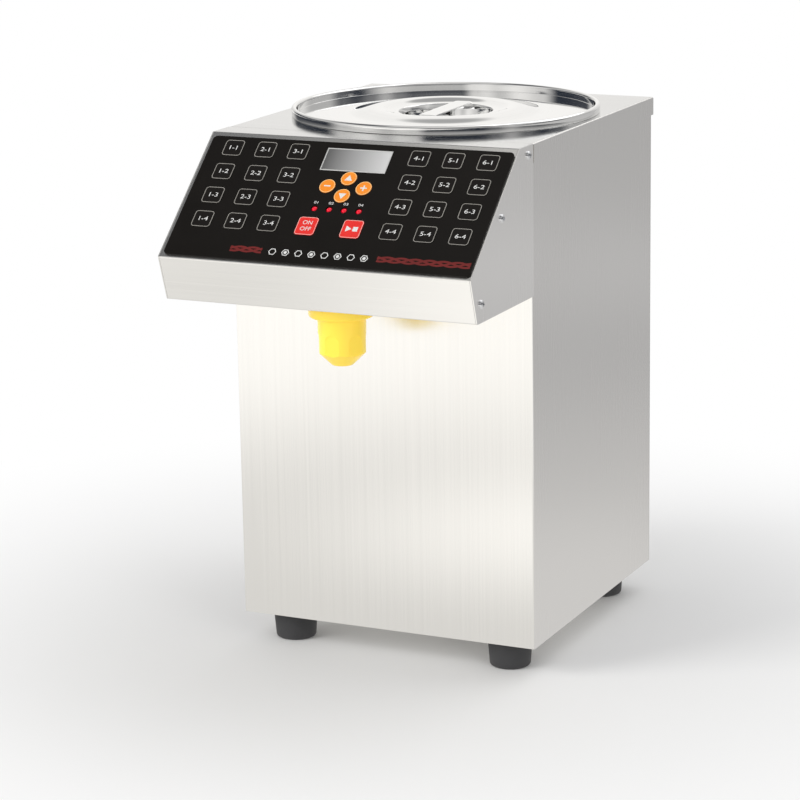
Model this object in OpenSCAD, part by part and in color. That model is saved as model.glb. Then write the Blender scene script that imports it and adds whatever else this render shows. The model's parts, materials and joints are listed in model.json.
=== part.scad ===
// Counter-top fructose dispenser: a steel case with a round syrup tank let into its top,
// a sloping keypad head at the front and a screw-on nozzle under the head.
// +X is the user's right, -Y is the front, +Z is up. The origin is on the table,
// under the middle of the overall length and width.

/* [Case] */
// Width of the case
body_w = 260; // [258:1:330]
// Depth of the case behind the front panel
body_d = 260; // [256:1:330]
// Height of the case without its feet
body_h = 405; // [370:1:490]
// Thickness of the steel sheet
sheet = 1; // [0.8:0.1:1.5]
// Outer radius of the sheet bends
bend_r = 1.6; // [1.6:0.1:3]
// Height of the top cover's skirt
skirt_h = 15; // [10:0.5:25]
// How far the top cover stands out past the back panel
rear_lap = 2.5; // [2:0.1:5]
// Gap between two sheets that are fixed together
sheet_gap = 0.15; // [0.1:0.01:0.3]

/* [Feet] */
// Height of a rubber foot
foot_h = 25; // [20:0.5:34]
// Diameter of a foot where it meets the case
foot_d = 37; // [28:0.5:44]
// Distance from the case's side to a foot's centre
foot_inset_x = 33; // [26:0.5:45]
// Distance from the front or back of the case to a foot's centre
foot_inset_y = 28; // [26:0.5:45]

/* [Head] */
// How far the head's top front edge stands in front of the case
head_reach = 120; // [100:1:140]
// Width of the level strip above the slope
top_strip = 26; // [20:0.5:34]
// Height lost over the slope
slope_drop = 83; // [70:0.5:95]
// Height of the nose band below the slope
nose_h = 35.5; // [28:0.5:42]
// How far the nose leans back towards its lower edge
nose_rake = 11.5; // [6:0.5:16]
// Width of the flanges inside the cheeks
cheek_flange = 18; // [16:0.5:24]

/* [Keypad] */
// Margin between the keypad and the head's sides
pad_margin = 1.5; // [1.3:0.1:6]
// Distance from the head's middle to the keypad's middle, to the right
pad_shift = 1.2; // [-1.2:0.1:1.2]
// Distance from the fold above the slope to the keypad
pad_top = 5.1; // [2:0.1:6]
// Distance from the keypad to the fold below the slope
pad_foot = 2.4; // [1:0.1:6]
// Thickness of the keypad
pad_t = 1.5; // [1.2:0.1:2]
// Width of a number key
key_w = 17; // [14:0.5:19]
// Height of a number key
key_h = 16; // [13:0.5:18]
// Columns of number keys in each block
key_cols = 3; // [1:1:3]
// Rows of number keys
key_rows = 4; // [1:1:4]
// Distance between two columns of number keys
col_pitch = 28.5; // [22:0.1:29]
// Distance between two rows of number keys
row_pitch = 23.6; // [20:0.1:24]
// Distance from the head's middle to the middle of the keys and the display, to the right
key_shift = 2.6; // [-3:0.1:3]
// Distance from the keys' middle to the inner column of a block
block_x = 51.5; // [48:0.5:56]
// Distance from the keypad's top edge to the first row
row_top = 11.4; // [10:0.1:13]
// Diameter of a round key
round_key_d = 13; // [10:0.1:13.4]
// Width of a red key
red_key_w = 16.5; // [14:0.5:20]
// Height of a red key
red_key_h = 17; // [13:0.5:18]
// Travel of a key
key_travel = 0.4; // [0.2:0.05:0.45]
// Gap round a key
key_gap = 0.25; // [0.2:0.01:0.4]
// Width of the display
display_w = 56; // [46:0.5:60]
// Height of the display
display_h = 22.5; // [18:0.1:22.5]
// Diameter of a status light
led_d = 5.2; // [3:0.1:6]

/* [Tank] */
// Inner diameter of the tank below its ledge
tank_d = 228; // [200:1:230]
// Depth of the tank below its ledge
tank_depth = 200; // [160:1:215]
// Outer diameter of the tank's rolled rim
rim_d = 252; // [246:1:256]
// Height of the rim above the top cover
rim_h = 7; // [5:0.5:12]
// Width of the rim's roll
rim_w = 4.5; // [3:0.1:6]
// Wall of the tank
tank_wall = 1; // [0.8:0.1:1.5]
// Bore of the tank's outlet
spigot_bore = 9; // [6:0.5:10]

/* [Lid] */
// Thickness of the lid
lid_t = 0.8; // [0.6:0.1:1.2]
// Radius where the lid's raised ring starts
ring_foot_r = 82; // [70:0.5:95]
// Radius of the raised ring's crest
crest_r = 56; // [50:0.5:62]
// Height of the crest over the lid's flange
crest_h = 4.3; // [3:0.1:8]
// Radius of the pocket under the handle
pocket_r = 39; // [30:0.5:41]
// Depth of the pocket's floor below the lid's flange
pocket_depth = 12; // [9:0.5:20]
// Length of the handle bar
grip_len = 82; // [80:0.5:94]
// Width of the handle bar
grip_w = 15; // [10:0.5:20]

/* [Nozzle] */
// Distance from the case's front to the nozzle's axis
nozzle_reach = 69; // [60:0.5:80]
// Diameter of the nozzle's flange
nozzle_flange_d = 51.5; // [48:0.5:60]
// Height of the nozzle's flange
nozzle_flange_h = 11; // [6:0.5:13]
// Diameter of the nozzle's body
nozzle_d = 37.6; // [34:0.2:44]
// Length of the whole nozzle
nozzle_len = 49; // [42:0.5:56]
// Height of the taper at the tip
taper_h = 10; // [6:0.5:12]
// Diameter of the flat tip
tip_d = 18; // [16:0.5:24]
// Bore of the tip
tip_bore = 8; // [6:0.5:10]
// Diameter of the threaded spigot that carries the nozzle
thread_d = 22; // [18:0.5:24]

/* [Pump] */
// Teeth on each pump gear
gear_teeth = 12; // [10:1:14]
// Module of the pump gears
gear_module = 2; // [1.6:0.1:2.2]
// Width of the pump gears
gear_w = 12; // [8:0.5:18]
// Diameter of the gear shafts
shaft_d = 6; // [4:0.5:8]
// Diameter of the motor
motor_d = 38; // [30:0.5:42]
// Length of the motor
motor_len = 62; // [45:1:75]
// Height of the pump's centre above the table
pump_z = 117; // [102:1:125]
// Outer diameter of the hoses
hose_d = 17; // [15:0.5:18]
// Outer diameter of the barbs inside the hoses
barb_d = 12; // [10:0.5:12.5]

/* [Hidden] */
$fn = 64;
eps = 0.01;
fit_gap = 0.3;
running_gap = 0.06;
through = 4;

case_parts = ["base_pan", "body_shell", "back_panel", "top_cover", "head_cheeks", "head_cover",
    "feet", "case_screws"];
pad_parts = ["keypad_overlay", "display_module", "status_leds", "control_board"];
tank_parts = ["tank", "heater_band", "lid", "lid_handle"];
flow_parts = ["suction_hose", "pump_housing", "pump_cover", "drive_gear", "driven_gear",
    "pump_motor", "discharge_hose", "valve_body", "valve_plunger", "nozzle", "nozzle_seal"];
power_parts = ["power_supply", "power_inlet", "rocker"];
named_keys = ["key_set", "key_up", "key_down", "key_ok", "key_power", "key_start"];
number_keys = [for (c = [1:2 * key_cols], r = [1:key_rows]) str("key_", c, "_", r)];

steel = "#c9c7c2";
polished = "#d9dadc";
dark_rubber = "#3a3a3b";
clear_hose = "#e6e3da";

// Case levels and planes. The front panel is y = 0 and the table is z = 0.
base_z = foot_h;
top_z = foot_h + body_h;
side_x = body_w / 2;
cover_x = side_x + sheet_gap + sheet;
shell_d = body_d - sheet - sheet_gap;
shell_top = top_z - sheet - (bend_r - sheet) / 2;
skirt_front = 1.6;
rear_flange = 14;
pan_flange = 12;
window_x = side_x - 15;
floor_vents = [30:12:90];
floor_vent_y = body_d * 0.3;
floor_vent = [50, 4];
back_vent = [60, 3.2];
tank_y = body_d / 2;

// Head outline, seen from the user's right: y is the depth and z the height.
head_floor = top_z - slope_drop - nose_h;
nose_low = [-(head_reach - nose_rake), head_floor];
nose_top = [-head_reach, top_z - slope_drop];
fold = [-top_strip, top_z];
slope_angle = atan2(slope_drop, head_reach - top_strip);
slope_len = norm([slope_drop, head_reach - top_strip]);
head_outline = [nose_low, [0, head_floor], [0, top_z], fold, nose_top];
head_radii = [bend_r, 0, 0, bend_r + 1, bend_r];

// Screws: pan heads with a cross recess, all alike.
screw_d = 4;
screw_len = 9;
screw_head_d = 7;
screw_head_h = 2.3;
screw_hole = screw_d + 0.4;
mid_screw = [57.8, 11.7];
cheek_screws = [
    [-9.6, top_z - 7.6],
    fold - mid_screw[0] * [cos(slope_angle), sin(slope_angle)]
        + mid_screw[1] * [sin(slope_angle), -cos(slope_angle)],
    nose_low + [7.2, 14.2]];
back_screw_x = side_x - sheet - rear_flange / 2;
back_screw_z = [base_z + 30, (base_z + top_z) / 2, top_z - skirt_h - 20];

// Feet
foot_x = side_x - foot_inset_x;
foot_rows = [foot_inset_y, body_d - foot_inset_y];
foot_taper = 1.8;
foot_round = 2.5;
foot_recess_d = 10;
foot_web = 6;

// Keypad layout, measured across from the keys' middle and down from the keypad's top edge.
pad_w = 2 * (side_x - pad_margin);
pad_h = slope_len - pad_top - pad_foot;
pad_corner_r = 4;
key_float = key_travel + 0.15;
key_proud = 0.25;
key_r = 3;
red_key_r = 2.5;
cross_x = 15.4;
cross_y = 8.45;
cross_top = 42.9;
led_pitch = 12.5;
led_top = 64.9;
red_x = 19;
display_top = 5.3;
display_gap = 0.15;
last_row = row_top + (key_rows - 1) * row_pitch;
round_spots = [[-cross_x, cross_top], [0, cross_top - cross_y], [0, cross_top + cross_y],
    [cross_x, cross_top]];
red_spots = [[-red_x, last_row], [red_x, last_row]];
function column_x(c) = c <= key_cols ? -block_x - (key_cols - c) * col_pitch
    : block_x + (c - key_cols - 1) * col_pitch;
function number_spot(c, r) = [column_x(c), row_top + (r - 1) * row_pitch];

// Control board under the slope
board_w = 216;
board_t = 1.6;
board_depth = 10;
board_top = 18;
board_foot = 15.4;
board_h = slope_len - board_top - board_foot;
post_d = 5;
post_inset = 6;
chip_h = 2.4;

// Tank
tank_r = tank_d / 2;
rim_r = rim_d / 2;
throat_r = rim_r - rim_w;
tank_hole_r = throat_r + tank_wall + 0.5;
lid_gap = 0.3;
ledge_z = top_z - lid_t;
tank_floor_z = ledge_z - tank_depth;
tank_corner = 14;
spigot_len = 18;
spigot_z = tank_floor_z - tank_wall - spigot_len;
heater_t = 2.4;
heater_h = 90;
heater_lift = 12;

// Lid heights are measured from the flange's upper face.
lid_r = throat_r - 0.6;
flange_z = ledge_z + lid_gap + lid_t;
dish_drop = 3.4;
pocket_slope = 4;
grip_t = 1.5;
grip_turn = 2;
curve_steps = 10;

// Gear pump, with its shafts along X
pitch_r = gear_module * gear_teeth / 2;
gear_tip_r = pitch_r + gear_module;
gear_root_r = pitch_r - 1.25 * gear_module;
pressure_angle = 28;
backlash = 0.12;
pump_wall = 6;
pump_r = gear_tip_r + pump_wall;
pump_back = gear_w / 2 + 8;
pump_cover_t = 6;
end_gap = 0.05;
bracket_t = 2;
shaft_hold = 9;
barb_len = 20;
barb_bore = 8;
hose_bore = barb_d + 0.1;
hose_bend = 18;
drive_y = tank_y - pitch_r;
driven_y = tank_y + pitch_r;

// Valve over the nozzle
valve_w = 28;
valve_h = 20;
valve_z = head_floor + sheet + 0.1;
coil_d = 24;
coil_gap = 7.36;
coil_front = (nozzle_reach + coil_d / 2 - top_strip) / (head_reach - top_strip);
board_under = top_z - slope_drop * coil_front - (board_depth + board_t) / cos(slope_angle);
coil_h = board_under - coil_gap - valve_z - valve_h;
plunger_d = 12;
plunger_lift = 2.5;
seat_z = valve_z + 4;
inlet_z = valve_z + 12.5;
spigot_drop = 22;
nozzle_top = head_floor - fit_gap;
nozzle_tip = nozzle_top - nozzle_len;
seal_t = 2.2;
seal_seat = nozzle_top - spigot_drop - seal_t;
grip_flats = 6;
flat_depth = 0.9;
flat_top = 20;

// Discharge hose, from the pump's lower barb up the left front corner to the valve.
hose_start = pump_z - pump_r - 2;
hose_corner_x = -(side_x - 30);
hose_route = [
    [0, tank_y, hose_start],
    [0, tank_y, base_z + 27],
    [0, 30, base_z + 27],
    [hose_corner_x, 30, base_z + 27],
    [hose_corner_x, 30, inlet_z],
    [hose_corner_x, -nozzle_reach, inlet_z],
    [-valve_w / 2 - 2, -nozzle_reach, inlet_z]];

// Power parts
supply_size = [90, 84, 34];
supply_strip = [8, 4];
inlet_at = [side_x - 56, base_z + 84];
inlet_plate = [44, 72];
inlet_body = [30, 60];
inlet_play = 0.2;
inlet_body_d = 24;
inlet_plate_t = 2;
socket_size = [24, 16.5];
socket_drop = 15;
socket_depth = 16;
rocker_rise = 21;
rocker_slot = [22, 13.4];
rocker_pivot = 3;
rocker_tilt = 11;
rocker_pin_r = 1.5;
rocker_tip = [9.6, 7.2];
rocker_reach = inlet_plate_t - rocker_pivot
    + rocker_tip[1] * cos(rocker_tilt) + rocker_tip[0] * sin(rocker_tilt);
origin_y = (head_reach - body_d - max(rear_lap, rocker_reach)) / 2;

// Plain helpers

function unit(v) = v / norm(v);
function left(v) = [-v.y, v.x];
function ease(t) = (1 - cos(180 * t)) / 2;
function blend(a, b, t) = a + (b - a) * t;
function before(p, i) = unit(p[i] - p[(i + len(p) - 1) % len(p)]);
function after(p, i) = unit(p[(i + 1) % len(p)] - p[i]);

// A convex outline drawn anticlockwise, moved inwards by d.
function inset(p, d) = [for (i = [0:len(p) - 1])
    let (a = before(p, i), b = after(p, i))
    p[i] + d * (left(a) + left(b)) / (1 + a * b)];

// The same outline with each corner turned into an arc of its own radius.
function rounded(p, radii, steps = 6) = [for (i = [0:len(p) - 1])
    let (a = before(p, i), b = after(p, i), turn = acos(a * b), r = radii[i],
        centre = p[i] - a * r * tan(turn / 2) + left(a) * r,
        from = atan2(-left(a).y, -left(a).x))
    for (k = r > 0 ? [0:steps] : [0])
        r > 0 ? centre + r * [cos(from + turn * k / steps), sin(from + turn * k / steps)] : p[i]];

// Stands the whole dispenser on the origin.
module place() {
    translate([0, origin_y, 0])
        children();
}

// Draws a side outline (depth, height) as a slab across the width.
module across(width) {
    rotate([90, 0, 90])
        linear_extrude(width, center = true)
            children();
}

module on_slope() {
    translate([0, -top_strip, top_z])
        rotate([slope_angle, 0, 0])
            children();
}

// Places on the keypad: across from the keys' middle, and down from the keypad's top edge.
module on_pad(spot) {
    on_slope()
        translate([spot[0] + key_shift, -pad_top - spot[1], 0])
            children();
}

module rounded_rect(w, h, r) {
    square([w, h - 2 * r], center = true);
    square([w - 2 * r, h], center = true);
    for (x = [-1, 1], y = [-1, 1])
        translate([x * (w / 2 - r), y * (h / 2 - r)])
            circle(r);
}

module slot_2d(length, width) {
    square([length - width, width], center = true);
    for (x = [-1, 1])
        translate([x * (length - width) / 2, 0])
            circle(width / 2);
}

// A plan outline from y = 0 back to depth d, with round front corners.
module front_rounded(w, d, r) {
    translate([-w / 2, r])
        square([w, d - r]);
    translate([-w / 2 + r, 0])
        square([w - 2 * r, r + eps]);
    for (x = [-1, 1])
        translate([x * (w / 2 - r), r])
            circle(r);
}

// A rectangle standing on z0 with round upper corners.
module top_rounded(w, z0, z1, r) {
    translate([-w / 2, z0])
        square([w, z1 - r - z0]);
    translate([-w / 2 + r, z1 - r - eps])
        square([w - 2 * r, r + eps]);
    for (x = [-1, 1])
        translate([x * (w / 2 - r), z1 - r])
            circle(r);
}

module tube(r, bore_r, h) {
    difference() {
        cylinder(r = r, h = h);
        translate([0, 0, -through])
            cylinder(r = bore_r, h = h + 2 * through);
    }
}

// Case

module base_pan() {
    pan_w = body_w - 2 * (sheet + sheet_gap);
    pan_d = shell_d - bend_r - sheet - sheet_gap;
    color(steel)
    place() {
        difference() {
            translate([-pan_w / 2, bend_r, base_z])
                cube([pan_w, pan_d, pan_flange]);
            translate([-pan_w / 2 + sheet, bend_r + sheet, base_z + sheet])
                cube([pan_w - 2 * sheet, pan_d - 2 * sheet, pan_flange]);
            for (x = [-foot_x, foot_x], y = foot_rows)
                translate([x, y, base_z - through])
                    cylinder(d = screw_hole, h = 2 * through);
            for (x = floor_vents)
                translate([x, floor_vent_y, base_z - through])
                    linear_extrude(2 * through)
                        rotate(90)
                            slot_2d(floor_vent[0], floor_vent[1]);
        }
        pump_bracket();
    }
}

// The upright of the base pan that carries the pump and its motor.
module pump_bracket() {
    half = pitch_r + pump_r;
    difference() {
        translate([-pump_back - bracket_t, tank_y - half, base_z + sheet - eps])
            cube([bracket_t, 2 * half, pump_z + pump_r - base_z - sheet]);
        translate([0, drive_y, pump_z])
            rotate([0, -90, 0])
                cylinder(r = shaft_d / 2 + 2, h = pump_back + 2 * bracket_t);
    }
    translate([-pump_back - bracket_t - 16, tank_y - half, base_z + sheet - eps])
        cube([16 + eps, 2 * half, bracket_t]);
}

module body_shell() {
    color(steel)
    place()
    difference() {
        translate([0, 0, base_z])
            linear_extrude(shell_top - base_z)
                difference() {
                    front_rounded(body_w, shell_d, bend_r);
                    translate([0, sheet])
                        front_rounded(body_w - 2 * sheet, shell_d - 2 * sheet, bend_r - sheet);
                    translate([0, shell_d])
                        square([body_w - 2 * sheet - 2 * rear_flange, 3 * sheet], center = true);
                }
        translate([-window_x, -sheet, head_floor + 2 * sheet])
            cube([2 * window_x, 3 * sheet, top_z - skirt_h - head_floor - 2 * sheet]);
        for (x = [-back_screw_x, back_screw_x], z = back_screw_z)
            translate([x, shell_d, z])
                rotate([90, 0, 0])
                    cylinder(d = screw_hole, h = 4 * sheet, center = true);
    }
}

module back_panel() {
    panel_h = shell_top - base_z;
    vent_rows = 9;
    vent_pitch = 9;
    vent_x = 40;
    vent_top = top_z - skirt_h - 30;
    color(steel)
    place()
    difference() {
        translate([-side_x, body_d - sheet, base_z])
            cube([body_w, sheet, panel_h]);
        for (x = [-back_screw_x, back_screw_x], z = back_screw_z)
            translate([x, body_d, z])
                rotate([90, 0, 0])
                    cylinder(d = screw_hole, h = 4 * sheet, center = true);
        for (column = [-1, 1], row = [0:vent_rows - 1])
            translate([column * vent_x, body_d + sheet, vent_top - row * vent_pitch])
                rotate([90, 0, 0])
                    linear_extrude(3 * sheet)
                        slot_2d(back_vent[0], back_vent[1]);
        translate([inlet_at[0], body_d, inlet_at[1]])
            rotate([90, 0, 0])
                linear_extrude(4 * sheet, center = true)
                    square(inlet_body + 2 * [inlet_play, inlet_play], center = true);
    }
}

// The outer form of the top cover, or its inner form when grown by -sheet.
module cover_form(grow, z0) {
    r = bend_r + grow;
    front = grow < 0 ? -1 : sheet_gap;
    length = body_d + rear_lap + grow - front;
    intersection() {
        translate([0, body_d + rear_lap + grow, 0])
            rotate([90, 0, 0])
                linear_extrude(length)
                    top_rounded(2 * (cover_x + grow), z0, top_z + grow, r);
        across(3 * body_w)
            translate([front, 0]) {
                translate([0, z0])
                    square([length, top_z + grow - r - z0]);
                translate([0, top_z + grow - r - eps])
                    square([length - r, r + eps]);
                translate([length - r, top_z + grow - r])
                    circle(r);
            }
    }
}

module top_cover() {
    color(steel)
    place()
    difference() {
        cover_form(0, top_z - skirt_h);
        cover_form(-sheet, top_z - skirt_h - 1);
        translate([0, tank_y, top_z - through])
            cylinder(r = tank_hole_r, h = 2 * through, $fn = 128);
        translate([-body_w, -eps, base_z])
            cube([2 * body_w, skirt_front, top_z - sheet - base_z]);
    }
}

module head_cheeks() {
    plate = rounded(head_outline, head_radii);
    flange_w = side_x + sheet_gap - window_x - 3;
    color(steel)
    place()
    for (side = [0, 1])
        mirror([side, 0, 0])
            difference() {
                union() {
                    translate([cover_x - sheet / 2, 0, 0])
                        across(sheet)
                            polygon(plate);
                    translate([side_x + sheet_gap - flange_w, -sheet, head_floor + 2 * sheet])
                        cube([flange_w + eps, sheet, top_z - 4 * sheet - head_floor]);
                }
                for (spot = cheek_screws)
                    translate([cover_x, spot[0], spot[1]])
                        rotate([0, 90, 0])
                            cylinder(d = screw_hole, h = 4 * sheet, center = true);
            }
}

// The bent sheet between the cheeks: level strip, slope, nose and floor, with side flanges.
module head_cover() {
    open_outline = [nose_low, [5, head_floor], [5, top_z], fold, nose_top];
    rear = 0.3;
    inner_radii = [for (r = head_radii) max(r - sheet, 0)];
    color(steel)
    place()
    difference() {
        union() {
            across(body_w)
                intersection() {
                    difference() {
                        polygon(rounded(open_outline, head_radii));
                        polygon(rounded(inset(open_outline, sheet), inner_radii));
                    }
                    translate([-2 * head_reach - rear, 0])
                        square([2 * head_reach, 2 * top_z]);
                }
            for (x = [-1, 1])
                translate([x * (side_x - sheet / 2), 0, 0])
                    across(sheet)
                        side_flange_2d();
            for (x = [-1, 1], v = [board_top + post_inset, board_top + board_h - post_inset])
                on_slope()
                    translate([x * (board_w / 2 - post_inset), -v, -board_depth])
                        cylinder(d = post_d, h = board_depth - sheet / 2);
        }
        for (spot = cheek_screws)
            translate([0, spot[0], spot[1]])
                rotate([0, 90, 0])
                    cylinder(d = screw_hole, h = 2 * body_w, center = true);
        translate([0, -nozzle_reach, head_floor - through])
            cylinder(d = thread_d + 1, h = 2 * through);
        on_pad([0, display_top + display_h / 2])
            translate([0, 0, -through])
                linear_extrude(2 * through)
                    square([display_w + 1, display_h + 1], center = true);
        for (i = [-1.5:1.5])
            on_pad([i * led_pitch, led_top])
                translate([0, 0, -through])
                    cylinder(d = led_d + 0.6, h = 2 * through);
    }
}

module side_flange_2d() {
    intersection() {
        difference() {
            polygon(rounded(head_outline, head_radii));
            polygon(inset(head_outline, cheek_flange));
        }
        translate([-2 * head_reach - 2 * sheet, 0])
            square([2 * head_reach, 2 * top_z]);
    }
}

module feet() {
    r = foot_d / 2;
    low_r = r - foot_taper;
    color(dark_rubber)
    place()
    for (x = [-foot_x, foot_x], y = foot_rows)
        translate([x, y, 0])
            rotate_extrude()
                difference() {
                    union() {
                        polygon([[0, foot_round], [low_r, foot_round], [r, foot_h], [0, foot_h]]);
                        square([low_r - foot_round, foot_round + eps]);
                        translate([low_r - foot_round, foot_round])
                            circle(foot_round);
                    }
                    translate([-r, -eps])
                        square([r + foot_recess_d / 2, foot_h - foot_web]);
                    translate([-r, 0])
                        square([r + screw_hole / 2, foot_h + 1]);
                }
}

// A screw along -Z from its head's underside, which is at the origin.
module screw() {
    difference() {
        rotate_extrude() {
            square([screw_head_d / 2, screw_head_h * 0.5]);
            intersection() {
                translate([0, -4.1])
                    circle(r = screw_head_h + 4.1);
                square([screw_head_d / 2, screw_head_h]);
            }
        }
        for (turn = [0, 90])
            rotate(turn)
                translate([0, 0, screw_head_h])
                    cube([screw_head_d * 0.6, 1, 2 * screw_head_h * 0.6], center = true);
    }
    translate([0, 0, -screw_len])
        cylinder(d = screw_d, h = screw_len + eps);
}

module case_screws() {
    color(polished)
    place() {
        for (side = [-1, 1], spot = cheek_screws)
            translate([side * (cover_x + 0.02), spot[0], spot[1]])
                rotate([0, side * 90, 0])
                    screw();
        for (x = [-back_screw_x, back_screw_x], z = back_screw_z)
            translate([x, body_d + 0.02, z])
                rotate([-90, 0, 0])
                    screw();
        for (x = [-foot_x, foot_x], y = foot_rows)
            translate([x, y, foot_h - foot_web - 0.02])
                rotate([180, 0, 0])
                    screw();
    }
}

// Keypad

module key_holes() {
    for (c = [1:2 * key_cols], r = [1:key_rows])
        pad_hole(number_spot(c, r))
            rounded_rect(key_w + 2 * key_gap, key_h + 2 * key_gap, key_r + key_gap);
    for (spot = red_spots)
        pad_hole(spot)
            rounded_rect(red_key_w + 2 * key_gap, red_key_h + 2 * key_gap, red_key_r + key_gap);
    for (spot = round_spots)
        pad_hole(spot)
            circle(round_key_d / 2 + key_gap);
}

module pad_hole(spot) {
    translate([spot[0], -spot[1]])
        children();
}

module keypad_overlay() {
    color("#1e1c1a")
    place()
    on_pad([0, 0])
        translate([0, 0, 0.02])
            linear_extrude(pad_t)
                difference() {
                    translate([pad_shift - key_shift, -pad_h / 2])
                        rounded_rect(pad_w, pad_h, pad_corner_r);
                    key_holes();
                    translate([0, -display_top - display_h / 2])
                        square([display_w, display_h], center = true);
                    for (i = [-1.5:1.5])
                        translate([i * led_pitch, -led_top])
                            circle(d = led_d + 0.4);
                }
}

// A key's plate floats over the sheet by its travel and stands a little proud.
module key_plate() {
    translate([0, 0, key_float])
        linear_extrude(pad_t + key_proud - key_float)
            children();
}

module number_key(c, r) {
    color("#262420")
    place()
    on_pad(number_spot(c, r))
        key_plate()
            rounded_rect(key_w, key_h, key_r);
}

module round_key(i) {
    color("#e88a1c")
    place()
    on_pad(round_spots[i])
        key_plate()
            circle(d = round_key_d);
}

module red_key(i) {
    color("#d81f22")
    place()
    on_pad(red_spots[i])
        key_plate()
            rounded_rect(red_key_w, red_key_h, red_key_r);
}

module display_module() {
    glass_top = pad_t - 0.3;
    frame_top = -sheet - 0.1;
    frame_h = 5;
    foot_gap = board_depth + frame_top - frame_h;
    color("#aeb6b8")
    place()
    on_pad([0, display_top + display_h / 2]) {
        translate([0, 0, frame_top - eps])
            linear_extrude(glass_top - frame_top + eps)
                square([display_w - 2 * display_gap, display_h - 2 * display_gap], center = true);
        translate([0, 0, frame_top - frame_h])
            linear_extrude(frame_h)
                square([display_w + 6, display_h + 6], center = true);
        for (x = [-1, 1])
            translate([x * (display_w / 2 - 4), 0, -board_depth])
                linear_extrude(foot_gap + eps)
                    square([5, display_h - 4], center = true);
    }
}

module status_leds() {
    color("#e01c24")
    place()
    for (i = [-1.5:1.5])
        on_pad([i * led_pitch, led_top]) {
            translate([0, 0, -board_depth])
                cylinder(d = led_d, h = board_depth + pad_t - led_d / 2 + 0.4);
            translate([0, 0, pad_t - led_d / 2 + 0.4])
                sphere(d = led_d);
        }
}

module control_board() {
    color("#2f6b3a")
    place()
    on_slope()
        translate([0, -board_top, -board_depth - board_t]) {
            translate([-board_w / 2, -board_h, 0])
                cube([board_w, board_h, board_t]);
            for (chip = [[-70, 30, 24, 24], [-30, 60, 16, 12], [20, 62, 30, 12], [72, 40, 22, 30]])
                translate([chip[0] - chip[2] / 2, -chip[1] - chip[3] / 2, -chip_h])
                    cube([chip[2], chip[3], chip_h + eps]);
        }
}

// Tank and lid

// A vessel's section from its axis out, with a round lower corner.
module vessel_2d(r, h, corner) {
    translate([0, corner])
        square([r, h - corner]);
    square([r - corner, corner]);
    translate([r - corner, corner])
        circle(corner);
}

module tank() {
    roll = rim_w / 2;
    roll_z = top_z + rim_h - roll;
    bottom = tank_floor_z - tank_wall;
    ledge_low = ledge_z - tank_wall;
    color(polished)
    place()
    translate([0, tank_y, 0])
        rotate_extrude($fn = 128)
            difference() {
                union() {
                    // Wall, floor and outlet
                    translate([0, bottom])
                        vessel_2d(tank_r + tank_wall, ledge_z - bottom, tank_corner);
                    translate([0, spigot_z])
                        square([barb_d / 2, spigot_len + tank_wall / 2]);
                    // Ledge that the lid sits on, throat and rolled rim
                    translate([0, ledge_low])
                        square([throat_r + tank_wall, roll_z - ledge_low]);
                    translate([throat_r, top_z])
                        square([rim_w, roll_z - top_z]);
                    translate([throat_r + roll, roll_z])
                        circle(roll);
                }
                translate([0, bottom + tank_wall])
                    vessel_2d(tank_r, tank_depth + rim_h + through, tank_corner - tank_wall);
                translate([0, ledge_z])
                    square([throat_r, rim_h + through]);
                translate([throat_r + tank_wall, top_z - 1])
                    square([rim_w - 2 * tank_wall, roll_z - top_z + 1]);
                translate([throat_r + roll, roll_z])
                    circle(roll - tank_wall);
                translate([0, spigot_z - 1])
                    square([spigot_bore / 2, spigot_len + tank_wall + 2]);
            }
}

module heater_band() {
    band_r = tank_r + tank_wall + 0.1;
    low = tank_floor_z + heater_lift;
    color("#b5482a")
    place()
    translate([0, tank_y, low]) {
        tube(band_r + heater_t, band_r, heater_h);
        // Thermostat
        translate([-band_r - heater_t - 7, -9, heater_h / 2 - 9])
            cube([7 + 1.2, 18, 18]);
    }
}

// The lid's upper face as radius and height, from the pocket out to the rim.
function lid_face() = concat(
    [[0, -pocket_depth]],
    [for (k = [0:curve_steps]) let (t = k / curve_steps)
        [blend(pocket_r - pocket_slope, pocket_r, t),
            blend(-pocket_depth, crest_h - dish_drop, ease(t))]],
    [for (k = [1:curve_steps]) let (t = k / curve_steps)
        [blend(pocket_r, crest_r, t), blend(crest_h - dish_drop, crest_h, ease(t))]],
    [for (k = [1:curve_steps]) let (t = k / curve_steps)
        [blend(crest_r, ring_foot_r, t), blend(crest_h, 0, ease(t))]],
    [[lid_r, 0]]);

module lid() {
    face = lid_face();
    under = [for (i = [len(face) - 1:-1:0]) face[i] - [0, lid_t]];
    color(polished)
    place()
    translate([0, tank_y, flange_z])
        rotate_extrude($fn = 128)
            polygon(concat(face, under));
}

function dish_height(r) = blend(crest_h - dish_drop, crest_h,
    ease((r - pocket_r) / (crest_r - pocket_r)));

module lid_handle() {
    corner = norm([grip_len, grip_w]) / 2;
    color(polished)
    place()
    translate([0, tank_y, flange_z + dish_height(corner) + 0.1])
        rotate(grip_turn)
            linear_extrude(grip_t)
                rounded_rect(grip_w, grip_len, 3);
}

// Pump. Each gear lies along X with its middle at the origin.

function involute(base, a) = base * [cos(a) + a * PI / 180 * sin(a), sin(a) - a * PI / 180 * cos(a)];
function turned(p, a) = [p.x * cos(a) - p.y * sin(a), p.x * sin(a) + p.y * cos(a)];

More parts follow.
